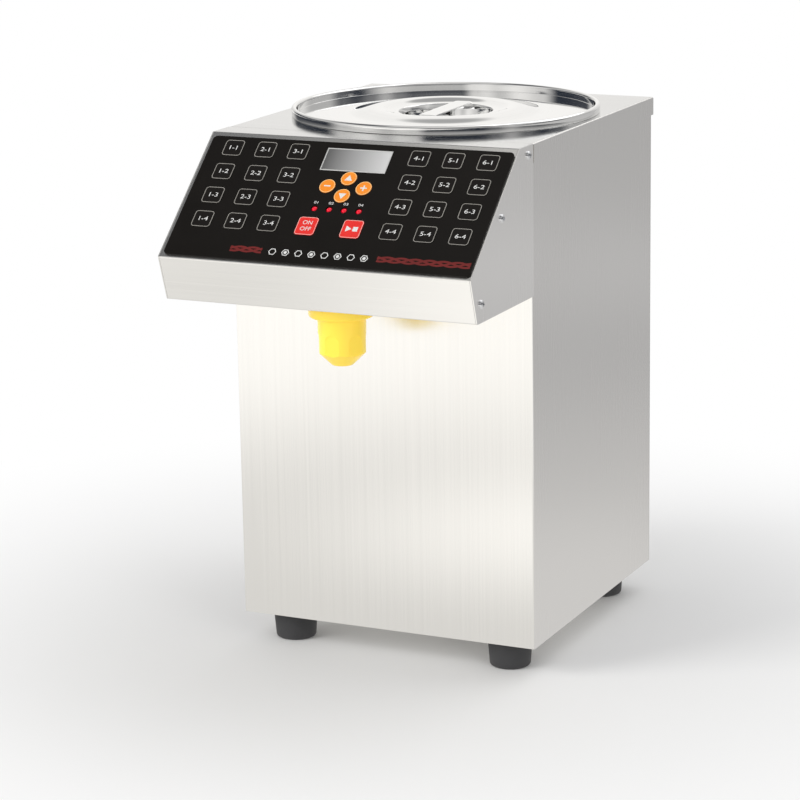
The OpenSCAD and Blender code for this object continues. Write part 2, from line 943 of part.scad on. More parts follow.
// One tooth, centred on the X axis, from root to tip and back.
function tooth() =
    let (base = pitch_r * cos(pressure_angle), steps = 6,
        inv = tan(pressure_angle) - pressure_angle * PI / 180,
        half = 90 / gear_teeth - backlash / 2 / pitch_r * 180 / PI + inv * 180 / PI,
        tip = sqrt(pow(gear_tip_r / base, 2) - 1) * 180 / PI,
        flank = [for (k = [0:steps]) turned(involute(base, tip * k / steps), -half)],
        root = gear_root_r * [cos(half), -sin(half)],
        lower = concat([root], flank))
    concat(lower, [for (i = [len(lower) - 1:-1:0]) [lower[i].x, -lower[i].y]]);

module gear(phase) {
    outline = [for (i = [0:gear_teeth - 1], p = tooth()) turned(p, phase + 360 * i / gear_teeth)];
    rotate([0, 90, 0])
        linear_extrude(gear_w, center = true)
            polygon(outline);
}

module drive_gear() {
    color("#8f9297")
    place()
    translate([0, drive_y, pump_z]) {
        gear(0);
        translate([gear_w / 2 - eps, 0, 0])
            rotate([0, 90, 0])
                cylinder(d = shaft_d, h = 4);
        translate([-gear_w / 2 + eps, 0, 0])
            rotate([0, -90, 0])
                cylinder(d = shaft_d, h = pump_back - gear_w / 2 + bracket_t + shaft_hold);
    }
}

module driven_gear() {
    color("#8f9297")
    place()
    translate([0, driven_y, pump_z]) {
        gear(180 / gear_teeth);
        rotate([0, 90, 0])
            cylinder(d = shaft_d, h = gear_w + 8, center = true);
    }
}

// The pump's outline seen along X, with a flat top and bottom between the gears.
module pump_outline() {
    for (y = [-pitch_r, pitch_r])
        translate([y, 0])
            circle(pump_r);
    square([2 * pitch_r, 2 * pump_r], center = true);
}

module pump_housing() {
    shaft_bore = shaft_d / 2 + running_gap;
    color("#a9abad")
    place()
    translate([0, tank_y, pump_z])
        difference() {
            union() {
                translate([-(pump_back - gear_w / 2 - end_gap) / 2, 0, 0])
                    across(pump_back + gear_w / 2 + end_gap)
                        pump_outline();
                for (up = [0, 1])
                    mirror([0, 0, up])
                        translate([0, 0, -pump_r - barb_len])
                            cylinder(d = barb_d, h = barb_len + 2);
            }
            for (y = [-pitch_r, pitch_r])
                translate([-gear_w / 2 - end_gap, y, 0])
                    rotate([0, 90, 0])
                        cylinder(r = gear_tip_r + running_gap, h = gear_w + through);
            translate([0, 0, -pump_r - barb_len - 1])
                cylinder(d = barb_bore, h = 2 * (pump_r + barb_len + 1));
            translate([0, -pitch_r, 0])
                rotate([0, -90, 0])
                    cylinder(r = shaft_bore, h = pump_back + 1);
            translate([0, pitch_r, 0])
                rotate([0, -90, 0])
                    cylinder(r = shaft_bore, h = gear_w / 2 + 4.5);
        }
}

module pump_cover() {
    color("#a9abad")
    place()
    translate([gear_w / 2 + end_gap, tank_y, pump_z])
        difference() {
            translate([pump_cover_t / 2, 0, 0])
                across(pump_cover_t)
                    pump_outline();
            for (y = [-pitch_r, pitch_r])
                translate([-1, y, 0])
                    rotate([0, 90, 0])
                        cylinder(r = shaft_d / 2 + running_gap, h = 1 + 4.5);
        }
}

module pump_motor() {
    face = pump_back + bracket_t;
    cap = 3;
    color("#4a4d52")
    place()
    translate([-face, drive_y, pump_z])
        rotate([0, -90, 0])
            difference() {
                union() {
                    cylinder(d = motor_d, h = motor_len);
                    translate([0, 0, motor_len - eps])
                        cylinder(d = motor_d * 0.4, h = cap);
                    for (x = [-1, 1])
                        translate([x * motor_d / 4, 0, motor_len - eps])
                            cube([1, 5, 2 * 7], center = true);
                }
                translate([0, 0, -1])
                    cylinder(r = shaft_d / 2 + running_gap, h = 1 + shaft_hold + 1);
            }
}

// A hose round square corners: straight tubes joined by quarter rings.
module hose(route, r_out, r_in) {
    last = len(route) - 1;
    for (i = [0:last - 1]) {
        dir = unit(route[i + 1] - route[i]);
        start = i == 0 ? 0 : hose_bend;
        stop = i == last - 1 ? 0 : hose_bend;
        span = norm(route[i + 1] - route[i]) - start - stop;
        translate(route[i] + dir * start)
            align(dir)
                tube_piece(r_out, r_in, span);
    }
    for (i = [1:last - 1])
        hose_corner(route[i], unit(route[i] - route[i - 1]), unit(route[i + 1] - route[i]),
            r_out, r_in);
}

module tube_piece(r_out, r_in, span) {
    linear_extrude(span)
        difference() {
            circle(r_out);
            circle(r_in);
        }
}

// Turns +Z into one of the six axis directions.
module align(dir) {
    if (abs(dir.z) > 0.5)
        rotate([dir.z > 0 ? 0 : 180, 0, 0])
            children();
    else if (abs(dir.x) > 0.5)
        rotate([0, 90 * dir.x, 0])
            children();
    else
        rotate([-90 * dir.y, 0, 0])
            children();
}

module hose_corner(at, from, to, r_out, r_in) {
    x_axis = -to;
    y_axis = from;
    z_axis = cross(x_axis, y_axis);
    centre = at - from * hose_bend + to * hose_bend;
    frame = [
        [x_axis.x, y_axis.x, z_axis.x, centre.x],
        [x_axis.y, y_axis.y, z_axis.y, centre.y],
        [x_axis.z, y_axis.z, z_axis.z, centre.z],
        [0, 0, 0, 1]];
    multmatrix(frame)
        rotate_extrude(angle = 90)
            translate([hose_bend, 0])
                difference() {
                    circle(r_out);
                    circle(r_in);
                }
}

module suction_hose() {
    low = pump_z + pump_r + 2;
    high = tank_floor_z - tank_wall - 2;
    color(clear_hose)
    place()
    translate([0, tank_y, low])
        tube_piece(hose_d / 2, hose_bore / 2, high - low);
}

module discharge_hose() {
    color(clear_hose)
    place()
    hose(hose_route, hose_d / 2, hose_bore / 2);
}

// Valve and nozzle

module valve_body() {
    coil_z = valve_z + valve_h;
    chamber_h = coil_z + coil_h - 2.5 - seat_z;
    color("#7d8288")
    place()
    translate([0, -nozzle_reach, 0])
        difference() {
            union() {
                translate([-valve_w / 2, -valve_w / 2, valve_z])
                    cube([valve_w, valve_w, valve_h]);
                translate([0, 0, coil_z - eps])
                    cylinder(d = coil_d, h = coil_h);
                translate([0, 0, nozzle_top - spigot_drop])
                    cylinder(d = thread_d, h = valve_z - nozzle_top + spigot_drop + eps);
                translate([-valve_w / 2 + eps, 0, inlet_z])
                    rotate([0, -90, 0])
                        cylinder(d = barb_d, h = barb_len - 2);
            }
            translate([0, 0, seat_z])
                cylinder(r = plunger_d / 2 + running_gap, h = chamber_h);
            translate([0, 0, nozzle_top - spigot_drop - 1])
                cylinder(d = barb_bore, h = seat_z - nozzle_top + spigot_drop + 2);
            translate([0, 0, inlet_z])
                rotate([0, -90, 0])
                    cylinder(d = barb_bore, h = valve_w);
        }
}

module valve_plunger() {
    color("#c7c9cc")
    place()
    translate([0, -nozzle_reach, seat_z + 0.05])
        cylinder(d = plunger_d, h = valve_h + coil_h - 4 - 2.5 - plunger_lift - 1);
}

module nozzle() {
    r = nozzle_d / 2;
    flange_r = nozzle_flange_d / 2;
    edge = 2.5;
    bore_r = thread_d / 2 + running_gap;
    flange_low = nozzle_top - nozzle_flange_h;
    taper_top = nozzle_tip + taper_h;
    color("#f6d21a")
    place()
    translate([0, -nozzle_reach, 0])
        difference() {
            union() {
                rotate_extrude() {
                    // Flange with a rounded lower edge
                    translate([0, flange_low + edge])
                        square([flange_r, nozzle_flange_h - edge]);
                    translate([0, flange_low])
                        square([flange_r - edge, nozzle_flange_h]);
                    translate([flange_r - edge, flange_low + edge])
                        circle(edge);
                    // Body and taper
                    translate([0, taper_top])
                        square([r, flange_low - taper_top + eps]);
                    polygon([[0, nozzle_tip], [tip_d / 2, nozzle_tip], [r, taper_top],
                        [0, taper_top]]);
                }
            }
            translate([0, 0, seal_seat])
                cylinder(r = bore_r, h = nozzle_top - seal_seat + 1);
            translate([0, 0, nozzle_tip - 1])
                cylinder(d = tip_bore, h = nozzle_len);
            for (i = [0:grip_flats - 1])
                rotate(360 * i / grip_flats)
                    grip_cut(r);
        }
}

// One grip flat, cut into the front of the nozzle, with an arched top.
module grip_cut(r) {
    half = sqrt(2 * r * flat_depth);
    translate([0, -r + flat_depth, 0])
        rotate([90, 0, 0])
            linear_extrude(3 * flat_depth) {
                translate([-half, nozzle_tip - 1])
                    square([2 * half, flat_top + 1]);
                translate([0, nozzle_tip + flat_top])
                    circle(half);
            }
}

module nozzle_seal() {
    color("#d9d9d4")
    place()
    translate([0, -nozzle_reach, seal_seat + 0.02])
        tube(thread_d / 2 - 0.3, thread_d / 2 - 4, seal_t - 0.3);
}

// Power

module power_supply() {
    color("#b9bcbf")
    place()
    translate([-side_x + 4, body_d - supply_size.y - 10, base_z + sheet + 0.1]) {
        // Mounting strips
        for (y = [0, supply_size.y - supply_strip.x])
            translate([0, y, 0])
                cube([supply_size.x, supply_strip.x, supply_strip.y + eps]);
        translate([0, 0, supply_strip.y])
            difference() {
                cube(supply_size);
                for (x = [1:8], y = [1:8])
                    translate([x * supply_size.x / 9, y * supply_size.y / 9, supply_size.z - 1])
                        cylinder(d = 5, h = 2);
            }
    }
}

module inlet_frame() {
    translate([inlet_at[0], body_d, inlet_at[1]])
        children();
}

module power_inlet() {
    color("#1b1b1d")
    place()
    inlet_frame() {
        difference() {
            union() {
                translate([0, inlet_plate_t, 0])
                    rotate([90, 0, 0])
                        linear_extrude(inlet_plate_t)
                            rounded_rect(inlet_plate[0], inlet_plate[1], 3);
                translate([0, eps, 0])
                    rotate([90, 0, 0])
                        linear_extrude(inlet_body_d)
                            square(inlet_body, center = true);
            }
            translate([0, inlet_plate_t + 1, -socket_drop])
                rotate([90, 0, 0])
                    linear_extrude(socket_depth + inlet_plate_t + 1)
                        socket_outline();
            translate([0, 0, rocker_rise])
                rotate([90, 0, 0])
                    linear_extrude(20, center = true)
                        square(rocker_slot, center = true);
            translate([0, inlet_plate_t - rocker_pivot, rocker_rise])
                cylinder(r = rocker_pin_r + running_gap, h = rocker_slot[1] + 2.4, center = true);
        }
        for (pin = [[-7, -2], [7, -2], [0, 2]])
            translate([pin[0], -socket_depth - eps, -socket_drop + pin[1]])
                translate([-1, 0, -2])
                    cube([2, socket_depth - 2, 4]);
    }
}

// The appliance inlet's outline, with its two cut corners at the top.
module socket_outline() {
    w = socket_size[0] / 2;
    h = socket_size[1] / 2;
    cut = 5;
    polygon([[-w, -h], [w, -h], [w, h - cut], [w - cut, h], [cut - w, h], [-w, h - cut]]);
}

module rocker() {
    tip = rocker_tip;
    slack = 0.25;
    length = rocker_slot[1] - 2 * slack;
    color("#2b2b2e")
    place()
    inlet_frame()
        translate([0, inlet_plate_t - rocker_pivot, rocker_rise])
            rotate(rocker_tilt) {
                linear_extrude(length, center = true)
                    polygon([[-3, -4], [3, -4], [10, 1.5], tip, [0, 5], [-tip.x, tip.y], [-10, 1.5]]);
                cylinder(r = rocker_pin_r, h = rocker_slot[1] + 2, center = true);
            }
}

base_pan();
body_shell();
back_panel();
top_cover();
head_cheeks();
head_cover();
feet();
case_screws();
keypad_overlay();
display_module();
status_leds();
control_board();
tank();
heater_band();
lid();
lid_handle();
suction_hose();
pump_housing();
pump_cover();
drive_gear();
driven_gear();
pump_motor();
discharge_hose();
valve_body();
valve_plunger();
nozzle();
nozzle_seal();
power_supply();
power_inlet();
rocker();
round_key(0);  // key_set
round_key(1);  // key_up
round_key(2);  // key_down
round_key(3);  // key_ok
red_key(0);  // key_power
red_key(1);  // key_start
for (c = [1:2 * key_cols], r = [1:key_rows])
    number_key(c, r);
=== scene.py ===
import json
import math
import bpy
import bmesh
from mathutils import Matrix, Vector


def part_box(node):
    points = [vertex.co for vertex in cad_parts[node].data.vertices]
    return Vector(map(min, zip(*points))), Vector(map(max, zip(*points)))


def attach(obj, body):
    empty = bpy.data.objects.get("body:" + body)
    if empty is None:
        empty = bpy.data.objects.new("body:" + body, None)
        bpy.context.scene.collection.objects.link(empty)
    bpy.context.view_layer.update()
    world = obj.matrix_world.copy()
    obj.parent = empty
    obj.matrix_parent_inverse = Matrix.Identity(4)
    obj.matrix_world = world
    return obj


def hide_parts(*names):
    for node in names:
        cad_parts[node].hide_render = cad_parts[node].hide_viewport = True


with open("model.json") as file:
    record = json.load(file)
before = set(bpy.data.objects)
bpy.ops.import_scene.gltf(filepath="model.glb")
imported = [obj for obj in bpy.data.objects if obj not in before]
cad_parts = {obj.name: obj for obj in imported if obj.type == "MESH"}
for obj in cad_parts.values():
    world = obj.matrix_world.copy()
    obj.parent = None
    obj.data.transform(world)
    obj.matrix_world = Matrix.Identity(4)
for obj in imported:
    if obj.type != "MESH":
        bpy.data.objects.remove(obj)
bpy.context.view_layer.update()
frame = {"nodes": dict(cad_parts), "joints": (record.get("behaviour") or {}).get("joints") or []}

mm = 0.001
nodes = frame["nodes"]
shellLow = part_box("body_shell")[0]
tankLow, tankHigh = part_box("tank")
frontY = shellLow.y
baseZ = shellLow.z
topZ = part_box("top_cover")[1].z
tankAxis = (tankLow + tankHigh) / 2
print("frame loaded:", len(nodes), "nodes")


# Camera, floor and light

cameraSet = {
    "target": (-52.8, 144.4, 153.7),   # mm from the front panel's middle, at the case's underside
    "distance": 2476.7,                # mm
    "yaw": 25.35,                      # degrees to the user's right
    "pitch": 14.07,
    "roll": -0.99,
    "focal": 2914,                     # pixels, for a frame 800 pixels wide
    "frameWidth": 800,
}


def makeCamera(s):
    yaw, pitch, roll = (math.radians(s[k]) for k in ("yaw", "pitch", "roll"))
    back = Vector((math.sin(yaw) * math.cos(pitch), -math.cos(yaw) * math.cos(pitch), math.sin(pitch)))
    right = (-back).cross(Vector((0, 0, 1))).normalized()
    up = right.cross(-back)
    tiltedRight = right * math.cos(roll) + up * math.sin(roll)
    tiltedUp = up * math.cos(roll) - right * math.sin(roll)
    target = Vector((0, frontY, baseZ)) + Vector(s["target"]) * mm
    data = bpy.data.cameras.new("camera")
    data.sensor_width = 36
    data.sensor_fit = "HORIZONTAL"
    data.lens = data.sensor_width * s["focal"] / s["frameWidth"]
    camera = bpy.data.objects.new("camera", data)
    camera.matrix_world = Matrix.Translation(target + back * s["distance"] * mm) @ Matrix(
        (tiltedRight, tiltedUp, back)).transposed().to_4x4()
    bpy.context.scene.collection.objects.link(camera)
    bpy.context.scene.camera = camera


makeCamera(cameraSet)

lightSet = {
    # name: place in m, aimed at, width and height in m, watts, colour, seen in mirrors
    "overhead": ((0.9, 1.2, 2.3), (0, 0.05, 0.35), (2.6, 2.0), 18, (1, 1, 1), True),
    "frontLeft": ((-2.0, -2.1, 1.6), (0, -0.1, 0.25), (1.6, 1.6), 56, (1, 0.99, 0.97), False),
    "rightFill": ((2.4, -1.6, 1.3), (0, 0, 0.2), (1.2, 1.6), 12, (0.97, 0.98, 1), False),
}
skySet = {
    "backdrop": (1.0, 1.0, 1.0), "fill": 0.63, "facing": 25.35,
    "bright": (1.0, 0.985, 0.96), "dark": (0.022, 0.027, 0.038),
    # degrees to the right of the camera's side, and the share of the bright tone there
    "around": ((-180, 0.95), (-163, 0.7), (-145, 0.03), (-102, 0.0), (-84, 0.6), (-62, 0.8),
               (-45, 0.5), (-34, 0.7), (-24, 0.6), (-14, 0.0), (24, 0.0), (36, 0.12), (48, 0.35),
               (60, 0.12), (74, 0.01), (90, 0.08), (106, 0.42), (130, 0.42), (152, 0.7), (180, 0.95)),
    # degrees above the floor over which the walls' contrast softens
    "softFrom": 9, "softFull": 20, "softLow": 0.45, "softHigh": 0.97,
    # degrees above the floor, and the share of the bright tone overhead
    "above": ((30, 0.45), (42, 0.33), (53, 0.08), (60, 0.1), (70, 0.85), (90, 0.95)),
    "highFrom": 30, "highFull": 36,
}
floorSet = {
    "size": 16.0, "tone": (0.84, 0.84, 0.84), "rough": 0.7,
    # how mirrors see it, as painted light: warm and bright in front, darker behind, in m from the object's
    # middle; darker near the object as a painted shadow
    "mirrored": 0.9, "turn": 42.0, "from": 0.25, "to": 1.1,
    "frontLeft": (1.0, 0.985, 0.955), "backRight": (0.43, 0.426, 0.42),
    "near": 0.5, "far": 1.15, "nearTone": 0.74, "farTone": 1.12,
    # painted pools of light: place and radius in m, added brightness
    "paintedLightPools": (((0.0, -0.48, 0), 0.32, 0.42), ((0.83, 1.47, 0), 0.55, 0.35)),
    # how the camera sees it: its shadows fade to white
    "fadeFrom": 0.2, "fadeTo": 0.7, "white": 1.0,
}


def makeLights(s):
    for name, (place, aim, size, watts, colour, mirrored) in s.items():
        data = bpy.data.lights.new(name, "AREA")
        data.shape = "RECTANGLE"
        data.size, data.size_y = size
        data.energy = watts
        data.color = colour
        lamp = bpy.data.objects.new(name, data)
        lamp.visible_glossy = mirrored
        aimed = (Vector(aim) - Vector(place)).to_track_quat("-Z", "Y")
        lamp.matrix_world = Matrix.Translation(place) @ aimed.to_matrix().to_4x4()
        bpy.context.scene.collection.objects.link(lamp)


def toneSteps(tree, angle, steps):
    # steps: (degrees, tone), from the lowest angle to the highest
    first, last = steps[0][0], steps[-1][0]
    place = put(tree, "ShaderNodeMapRange", {"Value": angle, "From Min": math.radians(first),
                                             "From Max": math.radians(last)})
    ramp = put(tree, "ShaderNodeValToRGB", {0: place})
    ramp.color_ramp.interpolation = "EASE"
    stops = ramp.color_ramp.elements
    stops.remove(stops[1])
    for degrees, tone in steps:
        stop = stops[0] if degrees == first else stops.new((degrees - first) / (last - first))
        stop.position = (degrees - first) / (last - first)
        stop.color = (tone, tone, tone, 1)
    return ramp.outputs[0]


def between(tree, value, low, high, **to):
    # From 0 at low to 1 at high, or between the ends in "to", eased
    ends = {"To " + end.title(): value for end, value in to.items()}
    eased = put(tree, "ShaderNodeMapRange", {"Value": value, "From Min": low, "From Max": high, **ends},
                interpolation_type="SMOOTHSTEP")
    return eased.outputs[0]


def makeWorld(s):
    # A white backdrop; polished things mirror bright walls with dark gaps between them
    world = bpy.data.worlds.new("studio")
    world.use_nodes = True
    tree = world.node_tree
    rays = put(tree, "ShaderNodeLightPath").outputs
    plain = feed(tree, tree.nodes["Background"], {
        "Color": (*s["backdrop"], 1), "Strength": spread(tree, rays["Is Camera Ray"], s["fill"], 1.0)})
    way = put(tree, "ShaderNodeTexCoord").outputs["Generated"]
    yaw = math.radians(s["facing"])
    ahead, aside = (
        put(tree, "ShaderNodeVectorMath", {0: way, 1: axis}, operation="DOT_PRODUCT").outputs["Value"]
        for axis in ((math.sin(yaw), -math.cos(yaw), 0), (math.cos(yaw), math.sin(yaw), 0)))
    height = put(tree, "ShaderNodeSeparateXYZ", {0: way}).outputs["Z"]
    rise = math2(tree, "ARCSINE", height, 0)
    soft, high = (between(tree, rise, math.radians(s[low]), math.radians(s[full]))
                  for low, full in (("softFrom", "softFull"), ("highFrom", "highFull")))
    walls = toneSteps(tree, math2(tree, "ARCTAN2", aside, ahead), s["around"])
    softer = spread(tree, walls, s["softLow"], s["softHigh"])
    level = mixColours(tree, high, mixColours(tree, soft, walls, softer), toneSteps(tree, rise, s["above"]))
    mirrored = put(tree, "ShaderNodeBackground", {"Color": mixColours(tree, level, s["dark"], s["bright"])})
    both = put(tree, "ShaderNodeMixShader", {
        0: rays["Is Glossy Ray"], 1: plain, 2: mirrored})
    feed(tree, tree.nodes["World Output"], {"Surface": both})
    bpy.context.scene.world = world


def makeFloor(s):
    half = s["size"] / 2
    mesh = bpy.data.meshes.new("floor")
    corners = [(-half, -half, 0), (half, -half, 0), (half, half, 0), (-half, half, 0)]
    mesh.from_pydata(corners, [], [(0, 1, 2, 3)])
    m, tree, bsdf = startMaterial("paleFloor")
    feed(tree, bsdf, {"Base Color": (*s["tone"], 1), "Roughness": s["rough"]})
    rays = put(tree, "ShaderNodeLightPath").outputs
    place = put(tree, "ShaderNodeTexCoord").outputs["Object"]
    turned = put(tree, "ShaderNodeMapping", {"Vector": place, "Rotation": (0, 0, math.radians(s["turn"]))})
    along = put(tree, "ShaderNodeSeparateXYZ", {0: turned}).outputs["Y"]
    away = put(tree, "ShaderNodeVectorMath", {0: place}, operation="LENGTH").outputs["Value"]
    # Darker near the object: a painted shadow in what mirrors see; the pools add painted light
    strength = between(tree, away, s["near"], s["far"], min=s["nearTone"], max=s["farTone"])
    for middle, radius, added in s["paintedLightPools"]:
        off = put(tree, "ShaderNodeVectorMath", {0: place, 1: middle}, operation="DISTANCE").outputs["Value"]
        strength = math2(tree, "ADD", strength, between(tree, off, 0.0, radius, min=added, max=0.0))
    glow = put(tree, "ShaderNodeEmission", {
        "Color": mixColours(tree, between(tree, along, s["from"], s["to"]), s["frontLeft"], s["backRight"]),
        "Strength": strength})
    share = math2(tree, "MULTIPLY", rays["Is Glossy Ray"], s["mirrored"])
    both = put(tree, "ShaderNodeMixShader", {0: share, 1: bsdf, 2: glow})
    white = put(tree, "ShaderNodeEmission", {"Strength": s["white"]})
    seen = math2(tree, "MULTIPLY", rays["Is Camera Ray"], between(tree, away, s["fadeFrom"], s["fadeTo"]))
    whole = put(tree, "ShaderNodeMixShader", {0: seen, 1: both, 2: white})
    feed(tree, tree.nodes["Material Output"], {"Surface": whole})
    mesh.materials.append(m)
    newObject("floor", mesh)


# Shared shader groups

def feed(tree, node, inputs):
    # A node among the values stands for its first output
    for key, value in inputs.items():
        if isinstance(value, bpy.types.Node):
            value = value.outputs[0]
        if isinstance(value, bpy.types.NodeSocket):
            tree.links.new(value, node.inputs[key])
        else:
            node.inputs[key].default_value = value
    return node


def put(tree, kind, inputs=None, **settings):
    node = tree.nodes.new(kind)
    for key, value in settings.items():
        setattr(node, key, value)
    return feed(tree, node, inputs or {})


def startGroup(name, kind, inputs, outputs):
    tree = bpy.data.node_groups.new(name, kind)
    for label, socketType, value in inputs:
        socket = tree.interface.new_socket(name=label, in_out="INPUT", socket_type=socketType)
        if value is not None:
            socket.default_value = value
    for label, socketType in outputs:
        tree.interface.new_socket(name=label, in_out="OUTPUT", socket_type=socketType)
    return tree, tree.nodes.new("NodeGroupInput").outputs, tree.nodes.new("NodeGroupOutput").inputs


def math2(tree, operation, a, b):
    return put(tree, "ShaderNodeMath", {0: a, 1: b}, operation=operation).outputs[0]


def asColour(value):
    return value if isinstance(value, bpy.types.NodeSocket) else (*value, 1)


def mixColours(tree, factor, low, high):
    node = put(tree, "ShaderNodeMix", data_type="RGBA")
    first, second = [n for n, socket in enumerate(node.inputs) if socket.type == "RGBA"]
    feed(tree, node, {0: factor, first: asColour(low), second: asColour(high)})
    return next(socket for socket in node.outputs if socket.type == "RGBA")


def spread(tree, value, low, high):
    return put(tree, "ShaderNodeMapRange", {"Value": value, "To Min": low, "To Max": high}).outputs[0]


def startMaterial(name):
    m = bpy.data.materials.new(name)
    m.use_nodes = True
    return m, m.node_tree, m.node_tree.nodes["Principled BSDF"]


def newObject(name, mesh):
    obj = bpy.data.objects.new(name, mesh)
    bpy.context.scene.collection.objects.link(obj)
    return obj


def makeBrushGroup():
    # Long fine scratches: the first coordinate runs across them, the second along them, in metres
    tree, given, result = startGroup(
        "brushLines", "ShaderNodeTree",
        [("Vector", "NodeSocketVector", None), ("Across", "NodeSocketFloat", 3000.0),
         ("Along", "NodeSocketFloat", 12.0), ("Wide", "NodeSocketFloat", 260.0)],
        [("Tone", "NodeSocketFloat"), ("Height", "NodeSocketFloat")])
    parts = put(tree, "ShaderNodeSeparateXYZ", {0: given["Vector"]}).outputs
    down = math2(tree, "MULTIPLY", parts["Y"], given["Along"])
    layers = []
    for across, share in ((given["Across"], 1.0), (given["Wide"], 0.3)):
        spot = put(tree, "ShaderNodeCombineXYZ", {
            "X": math2(tree, "MULTIPLY", parts["X"], across),
            "Y": math2(tree, "MULTIPLY", down, share),
            "Z": math2(tree, "MULTIPLY", parts["Z"], across)})
        layers.append(put(tree, "ShaderNodeTexNoise", {
            "Vector": spot, "Scale": 1.0, "Detail": 3.0, "Roughness": 0.6}).outputs[0])
    fine, coarse = (math2(tree, "MULTIPLY", layer, share) for layer, share in zip(layers, (0.55, 0.45)))
    sharper = put(tree, "ShaderNodeMapRange", {
        "Value": math2(tree, "ADD", fine, coarse), "From Min": 0.32, "From Max": 0.68})
    tree.links.new(sharper.outputs[0], result["Tone"])
    tree.links.new(layers[0], result["Height"])
    return tree


def makeCloudGroup():
    # Soft clouds and fine specks for handled or moulded surfaces, on object coordinates in metres
    tree, given, result = startGroup(
        "surfaceClouds", "ShaderNodeTree",
        [("Vector", "NodeSocketVector", None), ("Cloud Scale", "NodeSocketFloat", 14.0),
         ("Speck Scale", "NodeSocketFloat", 1800.0)],
        [("Clouds", "NodeSocketFloat"), ("Specks", "NodeSocketFloat")])
    for label, scale, look in (
            ("Clouds", "Cloud Scale", {"Detail": 4.0, "Roughness": 0.55, "Distortion": 0.4}),
            ("Specks", "Speck Scale", {"Detail": 2.0, "Roughness": 0.5})):
        noise = put(tree, "ShaderNodeTexNoise", {"Vector": given["Vector"], "Scale": given[scale], **look})
        tree.links.new(noise.outputs[0], result[label])
    return tree


brushLines = makeBrushGroup()
surfaceClouds = makeCloudGroup()
makeLights(lightSet)
makeWorld(skySet)
makeFloor(floorSet)
bpy.context.scene.view_settings.view_transform = "Standard"
print("camera, floor and lights made")


# Materials

def steelMaterial(name, s):
    m, tree, bsdf = startMaterial(name)
    place = put(tree, "ShaderNodeTexCoord").outputs["Object"]
    grainMap = put(tree, "ShaderNodeUVMap", uv_map="grain").outputs[0]
    lines = put(tree, "ShaderNodeGroup", {
        "Vector": grainMap, "Across": s["across"], "Along": s["along"], "Wide": s["wide"]},
        node_tree=brushLines).outputs
    clouds = put(tree, "ShaderNodeGroup", {"Vector": place, "Cloud Scale": s["cloudScale"]},
                 node_tree=surfaceClouds).outputs
    swell = put(tree, "ShaderNodeTexNoise", {"Vector": place, "Scale": s["cloudScale"], "Detail": 1.0})
    waves = put(tree, "ShaderNodeBump", {
        "Strength": 1.0, "Distance": s["wave"] * mm, "Height": swell})
    bump = put(tree, "ShaderNodeBump", {
        "Strength": s["bump"], "Distance": scratchDepth * mm, "Height": lines["Height"],
        "Normal": waves})
    tangent = put(tree, "ShaderNodeTangent", direction_type="UV_MAP", uv_map="grain")
    feed(tree, bsdf, {
        "Base Color": mixColours(tree, lines["Tone"], s["dark"], s["light"]),
        "Roughness": math2(tree, "ADD", spread(tree, lines["Tone"], *s["rough"]),
                           spread(tree, clouds["Clouds"], -s["smudge"], s["smudge"])),
        "Normal": bump, "Tangent": tangent,
        "Metallic": 1.0, "Anisotropic": s["anisotropic"]})
    return m


def plasticMaterial(name, s):
    m, tree, bsdf = startMaterial(name)
    s = {**plasticUsual, **s}
    place = put(tree, "ShaderNodeTexCoord").outputs["Object"]
    clouds = put(tree, "ShaderNodeGroup", {
        "Vector": place, "Cloud Scale": s["cloudScale"], "Speck Scale": s["speckScale"]},
        node_tree=surfaceClouds).outputs
    bump = put(tree, "ShaderNodeBump", {
        "Strength": s["bump"], "Distance": speckDepth * mm, "Height": clouds["Specks"]})
    feed(tree, bsdf, {
        "Base Color": mixColours(tree, clouds["Clouds"], s["low"], s["high"]),
        "Roughness": spread(tree, clouds["Clouds"], *s["rough"]),
        "Normal": bump, **s["shader"]})
    return m


# Depths of a full-strength bump, in mm
scratchDepth = 0.02
speckDepth = 0.05

flatSteel = {"across": 3200.0, "along": 8.0, "wide": 500.0, "cloudScale": 4.0, "anisotropic": 0.6,
             "rough": (0.25, 0.28), "smudge": 0.02, "bump": 0.006, "wave": 0.0}
steelSets = {
    # scratches across and along the grain per metre; wave is a depth in mm, bump a share of scratchDepth
    "caseSteel": {"across": 2600.0, "along": 4.0, "wide": 330.0, "cloudScale": 5.0, "anisotropic": 0.8,
                  "dark": (0.90, 0.89, 0.865), "light": (0.965, 0.955, 0.93),
                  "rough": (0.21, 0.26), "smudge": 0.03, "bump": 0.1, "wave": 0.02},
    # The sides' and the top's darker tones are painted shade beside the front's, and the right cheek's
    # lighter tone is painted light; grain and roughness are the real finish
    "sideSteel": {**flatSteel, "dark": (0.83, 0.82, 0.815), "light": (0.85, 0.84, 0.835)},
    "cheekSteel": {**flatSteel, "dark": (0.93, 0.92, 0.915), "light": (0.95, 0.94, 0.935)},
    "topSteel": {"across": 3000.0, "along": 8.0, "wide": 400.0, "cloudScale": 9.0, "anisotropic": 0.5,
                 "dark": (0.66, 0.66, 0.66), "light": (0.76, 0.76, 0.755),
                 "rough": (0.07, 0.13), "smudge": 0.02, "bump": 0.05, "wave": 1.2},
    "polishedSteel": {"across": 1600.0, "along": 3.0, "wide": 150.0, "cloudScale": 8.0, "anisotropic": 0.3,
                      "dark": (0.93, 0.93, 0.925), "light": (0.99, 0.99, 0.985),
                      "rough": (0.03, 0.07), "smudge": 0.015, "bump": 0.03, "wave": 0.2},
    "turnedSteel": {"across": 2400.0, "along": 4.0, "wide": 500.0, "cloudScale": 30.0, "anisotropic": 0.4,
                    "dark": (0.70, 0.71, 0.73), "light": (0.84, 0.85, 0.87),
                    "rough": (0.15, 0.25), "smudge": 0.04, "bump": 0.1, "wave": 0.0},
}
